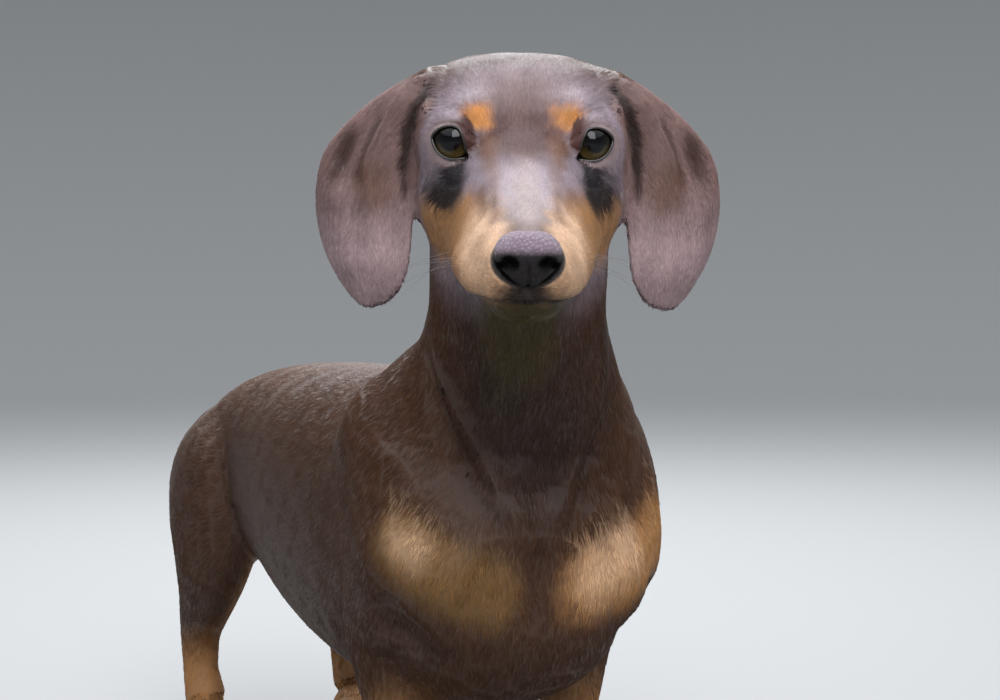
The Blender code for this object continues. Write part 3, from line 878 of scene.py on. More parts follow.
# Markings, laid over each other in this order, by frame: colour, place, radii, softness of the edge,
# strength, and the sides they are on.
MARKINGS = {
    "body": (
        # Painted shadow down the front of the neck, under the head.
        ("deep_shadow", (-4, -46, 188), (30, 18, 60), 0.5, 0.8, ONE),
        ("tan", (38, -4, 0), (26, 40, 62), 0.3, 1.0, BOTH),
        ("tan", (38, 205, 0), (26, 40, 50), 0.3, 1.0, BOTH),
        ("tan", (20, 190, 84), (16, 26, 44), 0.4, 1.0, BOTH),
        ("tan", (0, 258, 108), (14, 8, 30), 0.5, 0.9, ONE),
    ),
    "head": (
        # Painted sky sheen over the front and top of the head.
        ("crown_sky_sheen", (0, -12, 5), (46, 42, 44), 0.25, 1.0, ONE),
        ("tan", (14, -40, -14), (18, 45, 16), 0.25, 1.0, BOTH),
        ("tan", (25, -3, -14), (11, 18, 10.5), 0.4, 0.9, BOTH),
        # Painted shade over the tan of the throat, under the head.
        ("tan_in_shadow", (0, -30, -42), (14, 34, 20), 0.4, 0.9, ONE),
        ("cream", (13, -58, -6), (8, 22, 12), 0.6, 0.8, BOTH),
        ("cream", (12, -66, -14), (14, 12, 7), 0.6, 0.5, BOTH),
        # Dark lip skin with painted shadow under the nose.
        ("lip_and_shadow", (0, -74, -17), (8.5, 10, 5), 0.45, 0.95, ONE),
        # Painted shade over the tan of the chin, under the mouth.
        ("tan_in_shadow", (0, -62, -27.5), (18, 22, 8.5), 0.25, 1.0, ONE),
        ("shade", (0, -8, 17), (14, 18, 12), 0.5, 1.0, ONE),
        # Painted sky sheen along the bridge of the muzzle.
        ("bridge_sky_sheen", (0, -50, 7), (5.0, 27, 9), 0.6, 0.95, ONE),
        ("forehead", (0, 7, 26), (15, 15, 9), 0.8, 0.8, ONE),
        ("rust", (11, -9, 12), (3.2, 8, 6), 0.8, 0.5, BOTH),
        # Painted shadow under each eye.
        ("under_eye_shadow", (25, -6, 0.0), (9.5, 14, 9.5), 0.3, 0.95, BOTH),
        # Painted sky sheen on a small spot by each eye.
        ("crown_sky_sheen", (15, -14, 2.5), (3.5, 6, 6), 0.8, 0.6, BOTH),
        ("rust", (13, -32, 0), (3.5, 10, 4), 0.8, 0.6, BOTH),
        # Painted sky sheen beside each eye, towards the ear.
        ("crown_sky_sheen", (30, 4, 8), (5, 8, 9), 0.7, 0.9, BOTH),
        ("amber", (14.6, 0.5, 19.8), (4.9, 6, 3.9), 0.6, 1.0, BOTH),
    ),
}
# The markings' edges wander by this much, over this length, and narrow bands' by less. The whole colour
# varies by waves of these strengths, sizes and seeds.
EDGE_WANDER, WANDER_SIZE, WANDER_SEEDS, WIDE_BAND = 0.9, 7, (1, 2, 3), 5
COLOUR_WAVES = ((0.10, 11, 4), (0.08, 3, 5))

# Coloured bands, laid over the markings, by frame: colour, path, half width, softness, strength and sides.
BANDS = {
    "body": (
        # The chest patch on the dog's right is tan in painted shade, lit less than the other.
        ("tan_in_half_shadow", ((-54, -34, 128), (-46, -42, 120), (-34, -48, 114), (-26, -50, 110)), 12.5, 0.45,
         0.95, ONE),
        # Painted highlight at the top outer corner of the dog's right chest patch.
        ("tan_highlight", ((-54, -34, 130), (-49, -39, 126)), 6.5, 0.9, 0.7, ONE),
        ("tan", ((60, -32, 126), (44, -42, 119), (30, -48, 112), (14, -52, 110)), 12.5, 0.45, 0.95, ONE),
        # Painted highlight on the dog's left chest patch.
        ("tan_highlight", ((32, -48, 122), (18, -52, 114)), 9.0, 0.9, 0.8, ONE),
    ),
    "head": (
        ("rust", ((13, -6, 13), (11, -16, 10), (10.5, -28, 8), (10, -42, 5.5), (10.5, -54, 2)), 2.8, 0.9, 0.6,
         BOTH),
        # Dark lips along the mouth's line, with painted shade in its crease.
        ("lip_and_shadow", MOUTH, 2.7, 0.7, 1.0, BOTH),
        # Dark skin with painted shadow in the groove below the nose.
        ("lip_and_shadow", ((0, -75, -12), (0, -73.5, -19)), 1.3, 0.9, 0.9, ONE),
        # Painted shade in the crease between each ear's front edge and the head.
        ("deep_shadow", ((30, 18, 27), (34, 15, 21), (37, 14.5, 12), (38, 14, 2), (38.5, 13, -10)), 2.0, 0.6, 0.95,
         BOTH),
        # Painted shade in a valley and a pit of each ear's leaf.
        ("ear_hollow_shade", ((47, 22.8, 14), (49.6, 21.1, 8.9), (53.4, 17, -2)), 2.6, 0.9, 0.7, BOTH),
        ("ear_hollow_shade", ((58.4, 31, 6), (59.6, 30, 0), (60, 28, -5)), 4.4, 0.9, 0.9, BOTH),
        ("rust", ((50, 14, -3), (48.2, 11, -8)), 5.0, 1.0, 0.5, BOTH),
    ),
}

# The edge of the lids is dark within its wall, then pale, and it fades out from the skin on, further out on
# its dark side, which is by the nose and above its lowest part.
LID_WALL, LID_SKIN, LID_FADE, LID_DARK = (0.1, 0.5), 1.8, 3.0, 2.0
DARK_SIDE, DARK_HEIGHT = (0, -5), (-5, -1)

# What lies this far past the ear's end is not on its leaf. The ear's colour starts over these shares of the
# way along it, ends over these across it and these units off it, and takes a painted sheen of light from
# these along it.
PAST_TIP, EAR_SIDE = 4, 26
EAR_START, EAR_EDGE, EAR_OFF, EAR_SHEEN = (0.08, 0.2), (1.3, 1.08), (5.0, 3.4), (0.42, 0.68)


def leaf_place(head_points):
    """Where points of the head's frame lie on the nearer ear's leaf: along it, across it, and off it."""
    rows = refined(EAR_LINE, EAR_STEPS)
    points = head_points * (np.sign(head_points[:, :1]) * (1, 0, 0) + (0, 1, 1))
    _, along, heading, _ = near_path(points, rows[:, :3])
    step = along * (len(rows) - 1)
    row = np.stack([np.interp(step, np.arange(len(rows)), column) for column in rows.T], 1)
    turn = np.radians(row[:, 4])
    across = np.stack([np.cos(turn), np.sin(turn), 0 * turn], 1)
    outward = unit(np.cross(across, heading))
    outward = outward * np.sign(outward[:, :1])
    away = points - row[:, :3]
    place = np.sum(away * across, 1) / row[:, 3]
    past_tip = np.sum(away * heading, 1) > PAST_TIP
    lift = EAR_CUP * row[:, 3] * (1 - 2 * np.minimum(place**2, 1)) + leaf_height(along, place)
    return along, place, np.where(past_tip, np.inf, np.sum(away * outward, 1) - lift)


def on_ear(head_points):
    """How much of an ear each point of the head's frame is, and how much of the lower half's painted sheen.
    """
    near = np.abs(head_points[:, 0]) > EAR_SIDE
    share, low = np.zeros(len(head_points)), np.zeros(len(head_points))
    along, place, off = leaf_place(head_points[near])
    share[near] = smoothstep(*EAR_START, along) * smoothstep(*EAR_EDGE, abs(place))
    share[near] *= smoothstep(*EAR_OFF, abs(off))
    low[near] = smoothstep(*EAR_SHEEN, along)
    return share, low


def from_lids(points):
    """How far outside the opening between the lids each point is, how much it is on their dark side, and how
    far it stands off their ball."""
    away, stand = np.full(len(points), np.inf), np.zeros(len(points))
    dark = np.zeros(len(points))
    for sign in SIDES.values():
        local = within(eye_frame(sign), points)
        near = (np.linalg.norm(local, axis=1) < EYE_RADIUS + LID_REACH) & (local[:, 1] < 0)
        rays = unit(local[near])
        line = mirrored(lid_line(RIM_POINTS), sign)
        middle = unit(line.mean(0))
        side = unit(np.cross(middle, (0, 0, 1)))
        up = np.cross(side, middle)
        edge = np.interp(np.arctan2(rays @ up, rays @ side), np.arctan2(line @ up, line @ side),
                         np.arccos(line @ middle), period=2 * math.pi)
        inside = np.arccos(np.clip(rays @ middle, -1, 1)) < edge
        gap = EYE_RADIUS * np.arccos(np.clip((rays @ line.T).max(1), -1, 1))
        away[near] = np.where(inside, -gap, gap)
        dark[near] = smoothstep(*DARK_SIDE, sign * local[near, 0]) * smoothstep(*DARK_HEIGHT, local[near, 2])
        stand[near] = np.maximum(np.linalg.norm(local[near], axis=1) - EYE_RADIUS - LID_THICKNESS, 0)
    return away, dark, stand


def markings(points):
    """The coat's colour at each point of the model."""
    local = {name: within(matrix, points) for name, matrix in FRAMES.items()}
    shift = np.stack([ripple(points, WANDER_SIZE * U, seed) for seed in WANDER_SEEDS], 1) * EDGE_WANDER
    colour = np.repeat(tone("chocolate"), len(points), 0)
    for owner, marks in MARKINGS.items():
        for name, place, radii, soft, strength, signs in marks:
            share = np.zeros(len(points))
            for sign in signs:
                away = np.linalg.norm((local[owner] + shift - mirrored(place, sign)) / radii, axis=1)
                share = np.maximum(share, 1 - smoothstep(1 - soft, 1 + soft, away))
            colour = blend_colour(colour, tone(name), share * strength)
    leaf, low = on_ear(local["head"])
    # The ear's lower half gets a painted sheen of light.
    colour = blend_colour(colour, mix_colour("ear", "ear_lower_sheen", low), leaf)
    away, dark, stand = from_lids(points)
    away = away + stand
    edge = blend_colour(tone("rim_dark"), mix_colour("rim", "shade", dark), smoothstep(*LID_WALL, away))
    colour = blend_colour(colour, edge, 1 - smoothstep(LID_SKIN, LID_FADE, away - LID_DARK * dark))
    for owner, bands in BANDS.items():
        for name, path, width, soft, strength, signs in bands:
            spot = local[owner] + shift * min(1, width / WIDE_BAND)
            for sign in signs:
                line = mirrored(path, sign)
                low, high = line.min(0) - 2 * width, line.max(0) + 2 * width
                close = np.flatnonzero(np.all((spot > low) & (spot < high), 1))
                away, *_ = near_path(spot[close], line)
                share = strength * (1 - smoothstep(1 - soft, 1 + soft, away / width))
                colour[close] = blend_colour(colour[close], tone(name), share)
    bed = np.linalg.norm((local["head"] - NOSE_BED) / NOSE_RADII, axis=1)
    colour = blend_colour(colour, tone("rim_dark"), 1 - smoothstep(*NOSE_EDGE, bed))
    waves = sum(height * ripple(points, size * U, seed) for height, size, seed in COLOUR_WAVES)
    return colour * (1 + waves)[:, None]


# The lie of the coat: the path that the hair follows, the thickness there, and the part of the body.
SPINE = ((0, -10, 150), (0, 40, 130), (0, 120, 125), (0, 200, 135), (0, 240, 145))
THROAT = ((-6, -38, 240), (-4, -34, 206), (0, -26, 184), (0, -24, 150), (0, -24, 110), (0, -10, 66))


def bones():
    """Each part's line, in metres, with its thickness and its name."""
    made = [
        ("torso", placed(BODY, SPINE), 50),
        ("neck", placed(BODY, THROAT[:4]), 34),
        ("torso", placed(BODY, THROAT[3:]), 40),
        ("tail", placed(BODY, [row[:3] for row in TAIL[1:]]), 8),
        ("head", placed(HEAD, ((0, -74, -8), (0, -40, -8), (0, 0, 0), (0, 50, 0))), 24),
    ]
    for side, sign in SIDES.items():
        limbs = (("ear_" + side, HEAD, EAR_LINE[1:], 11), ("legs", BODY, FORELEG[1:], 13),
                 ("legs", BODY, HINDLEG[2:], 16))
        for name, owner, rows, thickness in limbs:
            made.append((name, placed(owner, mirrored([row[:3] for row in rows], sign)), thickness))
    return made


# The head's hair spreads back from this place, and the trunk's also hangs. Each part's line pulls the hair
# its way, less by this power of the distance.
NOSE_SOURCE, HANG = (0, -100, -12), (0, 0, -0.3)
PULL_SOFTNESS, PULL_POWER = 0.02, 5


def lie_of_coat(points, normals):
    """Which part each point is on, and the way its hair points."""
    local = within(HEAD, points)
    flow = np.zeros((len(points), 3))
    nearest = np.full(len(points), np.inf)
    part = np.zeros(len(points), object)
    for name, line, thickness in bones():
        away, _, heading, _ = near_path(points, line)
        away = away / (thickness * U)
        if name == "head":
            heading = unit(points - placed(HEAD, NOSE_SOURCE))
        if name == "torso":
            heading = unit(heading + np.array(HANG))
        if name.startswith("ear"):
            own = on_ear(local)[0] * (np.sign(local[:, 0]) == (1 if name == "ear_left" else -1))
            away = np.where(own > 0.5, 0.3 * away, 3 * away + 1)
        flow += heading / (PULL_SOFTNESS + away[:, None] ** PULL_POWER)
        closer = away < nearest
        nearest[closer] = away[closer]
        part[closer] = name
    flow -= normals * np.sum(flow * normals, 1)[:, None]
    return part, unit(flow)


# The coat of each part: hair length and width, share of the skin covered, and lift of the tips, in units.
COAT = {
    "head": (2.7, 0.28, 1.3, 0.25),
    "ear_left": (3.1, 0.31, 1.4, 0.25),
    "ear_right": (3.1, 0.31, 1.4, 0.25),
    "neck": (4.2, 0.38, 1.3, 0.25),
    "torso": (4.8, 0.45, 1.33, 0.28),
    "legs": (3.8, 0.42, 1.03, 0.25),
    "tail": (6.0, 0.42, 1.8, 0.5),
}
# The hair's share of its length at the muzzle and the paws, and over what it grows to its whole length.
MUZZLE_LENGTH, MUZZLE_END = 0.55, (-50, 10)
PAW_LENGTH, PAW_END = 0.6, (20, 50)
BARE_SOLE, BARE_LID, BARE_LIP = 0.9, 1.2, 1.0
MOST_TUFTS = 49000

# A tuft's ridge stands this share of the way along it. On a hollow its tip may rise by this share of its
# length, and it may be cut down to this share. So it is where its tip would overhang by more than this share,
# or where the skin there faces too far away. Its root is sunk by this much.
RIDGE, STEEPEST, SHORTEST, OVERHANG, SINK = 0.4, 0.12, 0.35, 0.35, 0.12
FACING_AWAY = 0.4

# How tufts differ: in length, width and lift, in the way they lie, in a wave and each alone, and in colour.
LENGTH_SPREAD, WIDTH_SPREAD, LIFT_SPREAD = (0.75, 1.25), (0.7, 1.3), (0.3, 1.3)
SWIRL, SWIRL_SIZE, SWIRL_SEED, TURN_SPREAD = 0.22, 14, 6, 0.15
COLOUR_SPREAD, COLOUR_LIMITS = 0.14, (-1.6, 1.9)

# A tuft's corners are two at its root, its ridge and its tip: its faces, the shares of its colour there, how
# high its ridge is for its width, how its shading leans sideways and along it, and its patch of the map.
TUFT_FACES = ((0, 3, 2), (2, 3, 1), (1, 3, 0), (0, 2, 1))
TUFT_SHADES = ((0.85,), (0.85,), (1.0,), (1.1,))
RIDGE_HEIGHT, SIDE_LEAN, TIP_LEAN = 0.22, 0.45, 0.1
PATCH, PATCH_CORNERS = 0.003, ((-1, -1), (1, -1), (0, 0), (0, 1))

# A part's pieces of coat are slices of it along this way.
SLICE_WAY = (0.0, 0.94, -0.34)


def hair_size(points, part):
    """The length and width of the hair at each point, in metres."""
    length, width = COAT[part][0], COAT[part][1]
    local = within(HEAD, points)
    factor = np.ones(len(points))
    if part == "head":
        factor = MUZZLE_LENGTH + (1 - MUZZLE_LENGTH) * smoothstep(*MUZZLE_END, local[:, 1])
    if part == "legs":
        factor = PAW_LENGTH + (1 - PAW_LENGTH) * smoothstep(*PAW_END, points[:, 2] / U)
    return length * factor * U, width * np.sqrt(factor) * U


def bare(points):
    """Where no hair grows: round the eyes, on the nose, in the mouth's line and under the paws."""
    away, _, stand = from_lids(points)
    local = within(HEAD, points)
    lips, *_ = near_path(local * (np.sign(local[:, :1]) * (1, 0, 0) + (0, 1, 1)), np.array(MOUTH, float))
    nose_place = np.linalg.norm((local - NOSE_BED) / NOSE_RADII, axis=1)
    return (points[:, 2] < BARE_SOLE * U) | (away + stand < BARE_LID) | (lips < BARE_LIP) | (nose_place < 1)


def wanted_tufts(co, triangles, part):
    """How many tufts each triangle takes, and their length and width there."""
    length, width = hair_size(co[triangles].mean(1), part)
    return triangle_areas(co, triangles) * COAT[part][2] / (0.5 * length * width), length, width


def rooted(skin, part, triangles, draw):
    """Where tufts grow on the triangles: their roots, the skin's normals there, their length and width."""
    co, normals = coordinates(skin.data), vertex_normals(skin.data)
    wanted, length, width = wanted_tufts(co, triangles, part)
    wanted[bare(co[triangles].mean(1))] = 0
    count = int(min(wanted.sum(), MOST_TUFTS))
    pick = draw.choice(len(triangles), count, p=wanted / wanted.sum())
    u, v = draw.random(count), draw.random(count)
    over = u + v > 1
    u[over], v[over] = 1 - u[over], 1 - v[over]
    shares = np.stack([1 - u - v, u, v], 1)[:, :, None]
    corner = triangles[pick]
    return (co[corner] * shares).sum(1), unit((normals[corner] * shares).sum(1)), length[pick], width[pick]


def tufts(skin, name, triangles, seed):
    """One piece of coat: thin flat tufts rooted all over the given triangles of the skin."""
    part = name.split("-")[0]
    draw = np.random.default_rng(seed)
    roots, up, length, width = rooted(skin, part, triangles, draw)
    count = len(roots)
    _, way = lie_of_coat(roots, up)
    turn = SWIRL * ripple(roots, SWIRL_SIZE * U, SWIRL_SEED) + TURN_SPREAD * draw.normal(size=count)
    way = way * np.cos(turn)[:, None] + np.cross(up, way) * np.sin(turn)[:, None]
    side = np.cross(up, way)
    length = (length * draw.uniform(*LENGTH_SPREAD, count))[:, None]
    width = (width * draw.uniform(*WIDTH_SPREAD, count))[:, None]
    lift = COAT[part][3] * U * draw.uniform(*LIFT_SPREAD, count)[:, None] * length / length.mean()
    straight = roots + way * length
    tips, faces = on_skin(skin_tree, straight)
    over_normals = smooth_normals(skin, tips, faces)
    past = np.linalg.norm(straight - tips, axis=1) > OVERHANG * length[:, 0]
    past |= np.sum(over_normals * up, 1) < FACING_AWAY
    tips[past] = (roots + way * length * SHORTEST)[past]
    over_normals[past] = up[past]
    rise = np.sum((tips - roots) * up, 1)[:, None]
    keep = np.clip(STEEPEST * length / np.maximum(rise, 1e-9), SHORTEST, 1)
    tips = roots + (tips - roots) * keep - up * rise * keep * (1 - keep) + over_normals * lift
    bow = np.where(rise > 0, RIDGE, RIDGE**2) * rise * keep**2
    ridge = roots + way * length * keep * RIDGE + up * (width * RIDGE_HEIGHT + RIDGE * lift + bow)
    sunk, half = roots - up * SINK * U, side * width / 2
    lean = SIDE_LEAN * side
    shading = [unit(up - lean), unit(up + lean), up, unit(over_normals + TIP_LEAN * way)]
    colour = markings(roots) * (1 + COLOUR_SPREAD * draw.normal(size=count).clip(*COLOUR_LIMITS))[:, None]
    return tuft_mesh(name, np.stack([sunk - half, sunk + half, ridge, tips], 1), np.stack(shading, 1),
                     colour[:, None] * np.array(TUFT_SHADES), unwrapped(roots, part))


def tuft_mesh(name, points, shading, colours, places):
    """The tufts as one mesh, from each one's corners, normals and colours there, and its place on the map."""
    count = len(points)
    faces = (np.arange(count)[:, None, None] * 4 + np.array(TUFT_FACES)).reshape(-1)
    mesh = bpy.data.meshes.new("coat_" + name)
    mesh.vertices.add(count * 4)
    mesh.vertices.foreach_set("co", points.reshape(-1))
    mesh.loops.add(count * 12)
    mesh.loops.foreach_set("vertex_index", faces)
    mesh.polygons.add(count * 4)
    mesh.polygons.foreach_set("loop_start", np.arange(count * 4) * 3)
    mesh.update(calc_edges=True)
    made = show(bpy.data.objects.new("coat_" + name, mesh))
    dress(made, colours.reshape(-1, 3), coat_material(), "brown_coat")
    mesh.normals_split_custom_set_from_vertices(shading.reshape(-1, 3).tolist())
    corner_places = (places[:, None] + np.array(PATCH_CORNERS) * PATCH / 2).reshape(-1, 2)[faces]
    mesh.uv_layers.new(name="OFBake").data.foreach_set("uv", corner_places.reshape(-1))
    return made


# Where the map's width starts round each line, and the share of its height left free at a line's ends.
MAP_SEAM, MAP_EDGE = (0.31, 0.2, 0.93), 0.01


def unwrapped(points, part):
    """A place on the part's own map for each point: round its line, and along it."""
    lines = [line for name, line, _ in bones() if name == part]
    best = np.full(len(points), np.inf)
    place = np.zeros((len(points), 2))
    for number, line in enumerate(lines):
        away, along, heading, nearest = near_path(points, line)
        out = points - nearest
        across = unit(np.cross(heading, MAP_SEAM))
        turn = np.arctan2(np.sum(out * np.cross(heading, across), 1), np.sum(out * across, 1))
        round_it = PATCH + (1 - 2 * PATCH) * (turn / (2 * math.pi) + 0.5)
        along_it = number + MAP_EDGE + (1 - 2 * MAP_EDGE) * along
        closer = away < best
        best[closer] = away[closer]
        place[closer] = np.stack([round_it, along_it / len(lines)], 1)[closer]
    return place


def coat(skin):
    """Every piece of coat, part by part, none over the most tufts that one piece may hold."""
    co, triangles = coordinates(skin.data), corners(skin.data)
    middles = co[triangles].mean(1)
    part, _ = lie_of_coat(middles, vertex_normals(skin.data)[triangles].mean(1))
    for seed, name in enumerate(COAT):
        own = np.flatnonzero(part == name)
        wanted, _, _ = wanted_tufts(co, triangles[own], name)
        pieces = int(math.ceil(wanted.sum() / MOST_TUFTS))
        order = np.argsort(middles[own] @ np.array(SLICE_WAY))
        bounds = np.searchsorted(np.cumsum(wanted[order]), np.arange(1, pieces) * wanted.sum() / pieces)
        for number, chosen in enumerate(np.split(own[order], bounds)):
            piece = name if pieces == 1 else "%s-%d" % (name, number + 1)
            tufts(skin, piece, triangles[chosen], SEED + 10 * seed + number)


def principled(name, roughness, **values):
    """A material whose shader has these values, and its nodes and links."""
    made = bpy.data.materials.new(name)
    made.use_nodes = True
    shader = made.node_tree.nodes["Principled BSDF"]
    shader.inputs["Roughness"].default_value = roughness
    for socket, value in values.items():
        shader.inputs[socket.replace("_", " ")].default_value = value
    return made, shader, made.node_tree.nodes, made.node_tree.links


def bumped(nodes, links, shader, height, strength, distance):
    bump = nodes.new("ShaderNodeBump")
    bump.inputs["Strength"].default_value = strength
    bump.inputs["Distance"].default_value = distance
    links.new(height, bump.inputs["Height"])
    links.new(bump.outputs["Normal"], shader.inputs["Normal"])


def varied(nodes, links, shader, height, low, high):
    """The colour of the vertices, made darker and lighter by a texture."""
    colour = nodes.new("ShaderNodeAttribute")
    colour.attribute_name = "coat"
    spread = nodes.new("ShaderNodeMapRange")
    spread.inputs["To Min"].default_value = low
    spread.inputs["To Max"].default_value = high
    links.new(height, spread.inputs["Value"])
    product = nodes.new("ShaderNodeVectorMath")
    product.operation = "SCALE"
    links.new(colour.outputs["Color"], product.inputs["Vector"])
    links.new(spread.outputs["Result"], product.inputs["Scale"])
    links.new(product.outputs["Vector"], shader.inputs["Base Color"])


def grained(name, roughness, scale, detail, shades, bumps=None, **values):
    """A material with a noise that makes its colour darker and lighter, and may stand out as bumps."""
    made, shader, nodes, links = principled(name, roughness, **values)
    noise = nodes.new("ShaderNodeTexNoise")
    noise.inputs["Scale"].default_value = scale
    noise.inputs["Detail"].default_value = detail
    varied(nodes, links, shader, noise.outputs["Fac"], *shades)
    if bumps:
        bumped(nodes, links, shader, noise.outputs["Fac"], *bumps)
    return made


def once(make):
    """Keeps what a function makes, so that its later calls give the same."""
    kept = []

    def call():
        if not kept:
            kept.append(make())
        return kept[0]
    return call


@once
def coat_material():
    return grained("short coat", 0.5, 900, 2, (0.85, 1.15), Specular_IOR_Level=0.2, Sheen_Weight=0.03,
                   Sheen_Roughness=0.35)


@once
def skin_material():
    return grained("skin under the coat", 0.55, 1600, 2, (0.75, 1.1), (0.5, 0.0003), Specular_IOR_Level=0.4)


@once
def rim_material():
    return grained("bare lid", 0.32, 1500, 2, (0.85, 1.15), (0.25, 0.0002), Specular_IOR_Level=0.5,
                   Coat_Weight=0.3)


@once
def eye_material():
    return grained("wet eye", 0.3, 2600, 4, (0.6, 1.4), Coat_Weight=1.0, Coat_Roughness=0.02, Coat_IOR=1.33,
                   Specular_IOR_Level=0.0)


@once
def nose_material():
    made, shader, nodes, links = principled("nose leather", 0.5, Specular_IOR_Level=0.25)
    pebbles = nodes.new("ShaderNodeTexVoronoi")
    pebbles.feature = "SMOOTH_F1"
    pebbles.inputs["Scale"].default_value = 1500
    varied(nodes, links, shader, pebbles.outputs["Distance"], 1.2, 0.75)
    bumped(nodes, links, shader, pebbles.outputs["Distance"], 0.7, -0.0004)
    return made


@once
def horn_material():
    return grained("claw horn", 0.35, 900, 3, (0.7, 1.3), Specular_IOR_Level=0.5)


# The soft edges of the pupil, iris and dark ring, as angles from the way that the eye looks, and the cornea's
# height and edge. The iris has painted shade above its middle and painted light below it, brightest this far
# below it.
PUPIL_EDGE, IRIS_EDGE, RING_EDGE = (0.33, 0.40), (0.64, 0.72), (0.78, 0.85)
CORNEA_RISE, CORNEA_EDGE = 0.9, 0.62
IRIS_SHADED, IRIS_LIT, IRIS_LIT_AT = 0.05, 1.3, -5.0

# The iris's fibres, broad and fine, by how many there are and how strong, and the waves that bend the broad.
BROAD_FIBRES, FINE_FIBRES, FIBRE_WAVES = (41, 0.22), (87, 0.15), (7, 3)


def eyeball(side, sign):
    """The ball, with its cornea standing out a little, its pupil, iris and dark ring."""
    bm = bmesh.new()
    bmesh.ops.create_uvsphere(bm, u_segments=128, v_segments=96, radius=EYE_RADIUS * U)
    bmesh.ops.rotate(bm, matrix=Matrix.Rotation(math.pi / 2, 3, "X"), verts=bm.verts)
    ball = object_of(bm, "eyeball_" + side, eye_frame(sign))
    local = within(eye_frame(sign), coordinates(ball.data))
    off = np.arccos(np.clip(-unit(local)[:, 1], -1, 1))
    rise = CORNEA_RISE * (1 - smoothstep(0, CORNEA_EDGE, off))
    move_to(ball.data, placed(eye_frame(sign), local + unit(local) * rise[:, None]))
    turn = np.arctan2(local[:, 2], local[:, 0])
    (broad, strength), (fine, fine_strength), (waves, bend) = BROAD_FIBRES, FINE_FIBRES, FIBRE_WAVES
    fibre = 1 + strength * np.sin(broad * turn + bend * np.sin(waves * turn))
    fibre = fibre + fine_strength * np.sin(fine * turn)
    # Painted shade over the iris above its middle and painted light below it.
    iris_light = IRIS_SHADED + IRIS_LIT * smoothstep(0.0, IRIS_LIT_AT, local[:, 2])
    iris = tone("iris") * (fibre * iris_light)[:, None]
    colour = blend_colour(tone("pupil"), iris, smoothstep(*PUPIL_EDGE, off))
    colour = blend_colour(colour, tone("iris_ring"), smoothstep(*IRIS_EDGE, off))
    colour = blend_colour(colour, tone("eye_white"), smoothstep(*RING_EDGE, off))
    return dress(ball, colour, eye_material(), "eye", "eye_" + side)


# The places and radii of the balls that hollow out each nostril, and how deep the painted shadow is inside
# it and just round it.
NOSTRILS = (
    ((5.6, -76.5, -5.9), (2.9, 5.0, 2.1)),
    ((7.8, -75.0, -6.9), (2.4, 4.4, 1.2)),
    ((9.6, -72.8, -7.8), (2.2, 4.2, 0.6)),
)
NOSTRIL_SHADOW, NOSTRIL_EDGE, NOSTRIL_DEPTH = 0.93, (0.95, 1.25), 0.25
NOSE_VOXEL, NOSE_SMOOTHING = 0.3, 5

# The leather has a painted shadow below these heights, which rise towards the front, and painted shade
# between its pebbles.
LEATHER_SHADOW_HEIGHTS, LEATHER_DEEPEST_SHADOW, LEATHER_SLOPE, PEBBLE_GAP_SHADE = (-23.7, -26.7), 0.97, 0.3, 0.6

# The pebbles of the nose: their size and height, the gap over which they rise and over which they get light,
# and how their pattern is squeezed along each axis.
PEBBLE, PEBBLE_HEIGHT = 1.3, 0.14
PEBBLE_RISE, PEBBLE_LIGHT = (0.0, 0.4), (0.0, 0.3)
PEBBLE_STRETCH = np.array((1.0, 0.75, 1.0))

# The nose pad's share of its solid's width, and the share that it loses between these two heights.
NOSE_WIDTH = 0.94
NOSE_PINCH, NOSE_PINCHED = 0.42, (-5.0, -13.0)

# The groove down its front and the dip along its top: half width, depth, and where each starts.
GROOVE_WIDTH, GROOVE_DEPTH, GROOVE_START, GROOVE_FRONT = 0.7, 1.0, (-5, -7.5), (-72, -74)
DIP_WIDTH, DIP_DEPTH, DIP_START = 4.0, 0.5, (-4, -1)


def nose():
    """The pad of the nose, with its comma-shaped nostrils and the groove below them."""
    pad = lengthwise("nose", [(*row[:3], row[3] * NOSE_WIDTH) for row in NOSE], HEAD, count=48)
    hollows = [(mirrored(place, sign), radii) for sign in SIDES.values() for place, radii in NOSTRILS]
    cut(pad, [ellipsoid("nostril", place, radii, HEAD, segments=24) for place, radii in hollows])
    pad = fuse("nose_pad", [pad], NOSE_VOXEL, NOSE_SMOOTHING)
    local = within(HEAD, coordinates(pad.data))
    x, y, z = local.T
    x *= 1 - NOSE_PINCH * smoothstep(*NOSE_PINCHED, z)
    groove = np.exp(-((x / GROOVE_WIDTH) ** 2)) * smoothstep(*GROOVE_START, z) * smoothstep(*GROOVE_FRONT, y)
    dip = np.exp(-((x / DIP_WIDTH) ** 2)) * smoothstep(*DIP_START, z)
    pebbles = [voronoi(Vector(place / PEBBLE))[0] for place in local * PEBBLE_STRETCH]
    gaps = np.array([second - first for first, second, *_ in pebbles])
    out = PEBBLE_HEIGHT * smoothstep(*PEBBLE_RISE, gaps) - GROOVE_DEPTH * groove - DIP_DEPTH * dip
    move_to(pad.data, placed(HEAD, local) + vertex_normals(pad.data) * (out * U)[:, None])
    # Painted shadow inside each nostril.
    inside = np.zeros(len(local))
    for place, radii in hollows:
        away = np.linalg.norm((local - place) / (np.array(radii) + NOSTRIL_DEPTH), axis=1)
        inside = np.maximum(inside, 1 - smoothstep(*NOSTRIL_EDGE, away))
    # The leather keeps its painted sky sheen above and gets a painted shadow on its lower front.
    lower = smoothstep(*LEATHER_SHADOW_HEIGHTS, z + LEATHER_SLOPE * y)
    # Painted shade between the pebbles, and painted shadow inside the nostrils.
    shade = (PEBBLE_GAP_SHADE + (1 - PEBBLE_GAP_SHADE) * smoothstep(*PEBBLE_LIGHT, gaps)) * (1 - NOSTRIL_SHADOW * inside)
    colour = mix_colour("leather", "leather_in_shadow", lower * LEATHER_DEEPEST_SHADOW) * shade[:, None]
    return dress(pad, colour, nose_material(), "nose_leather", "nose")


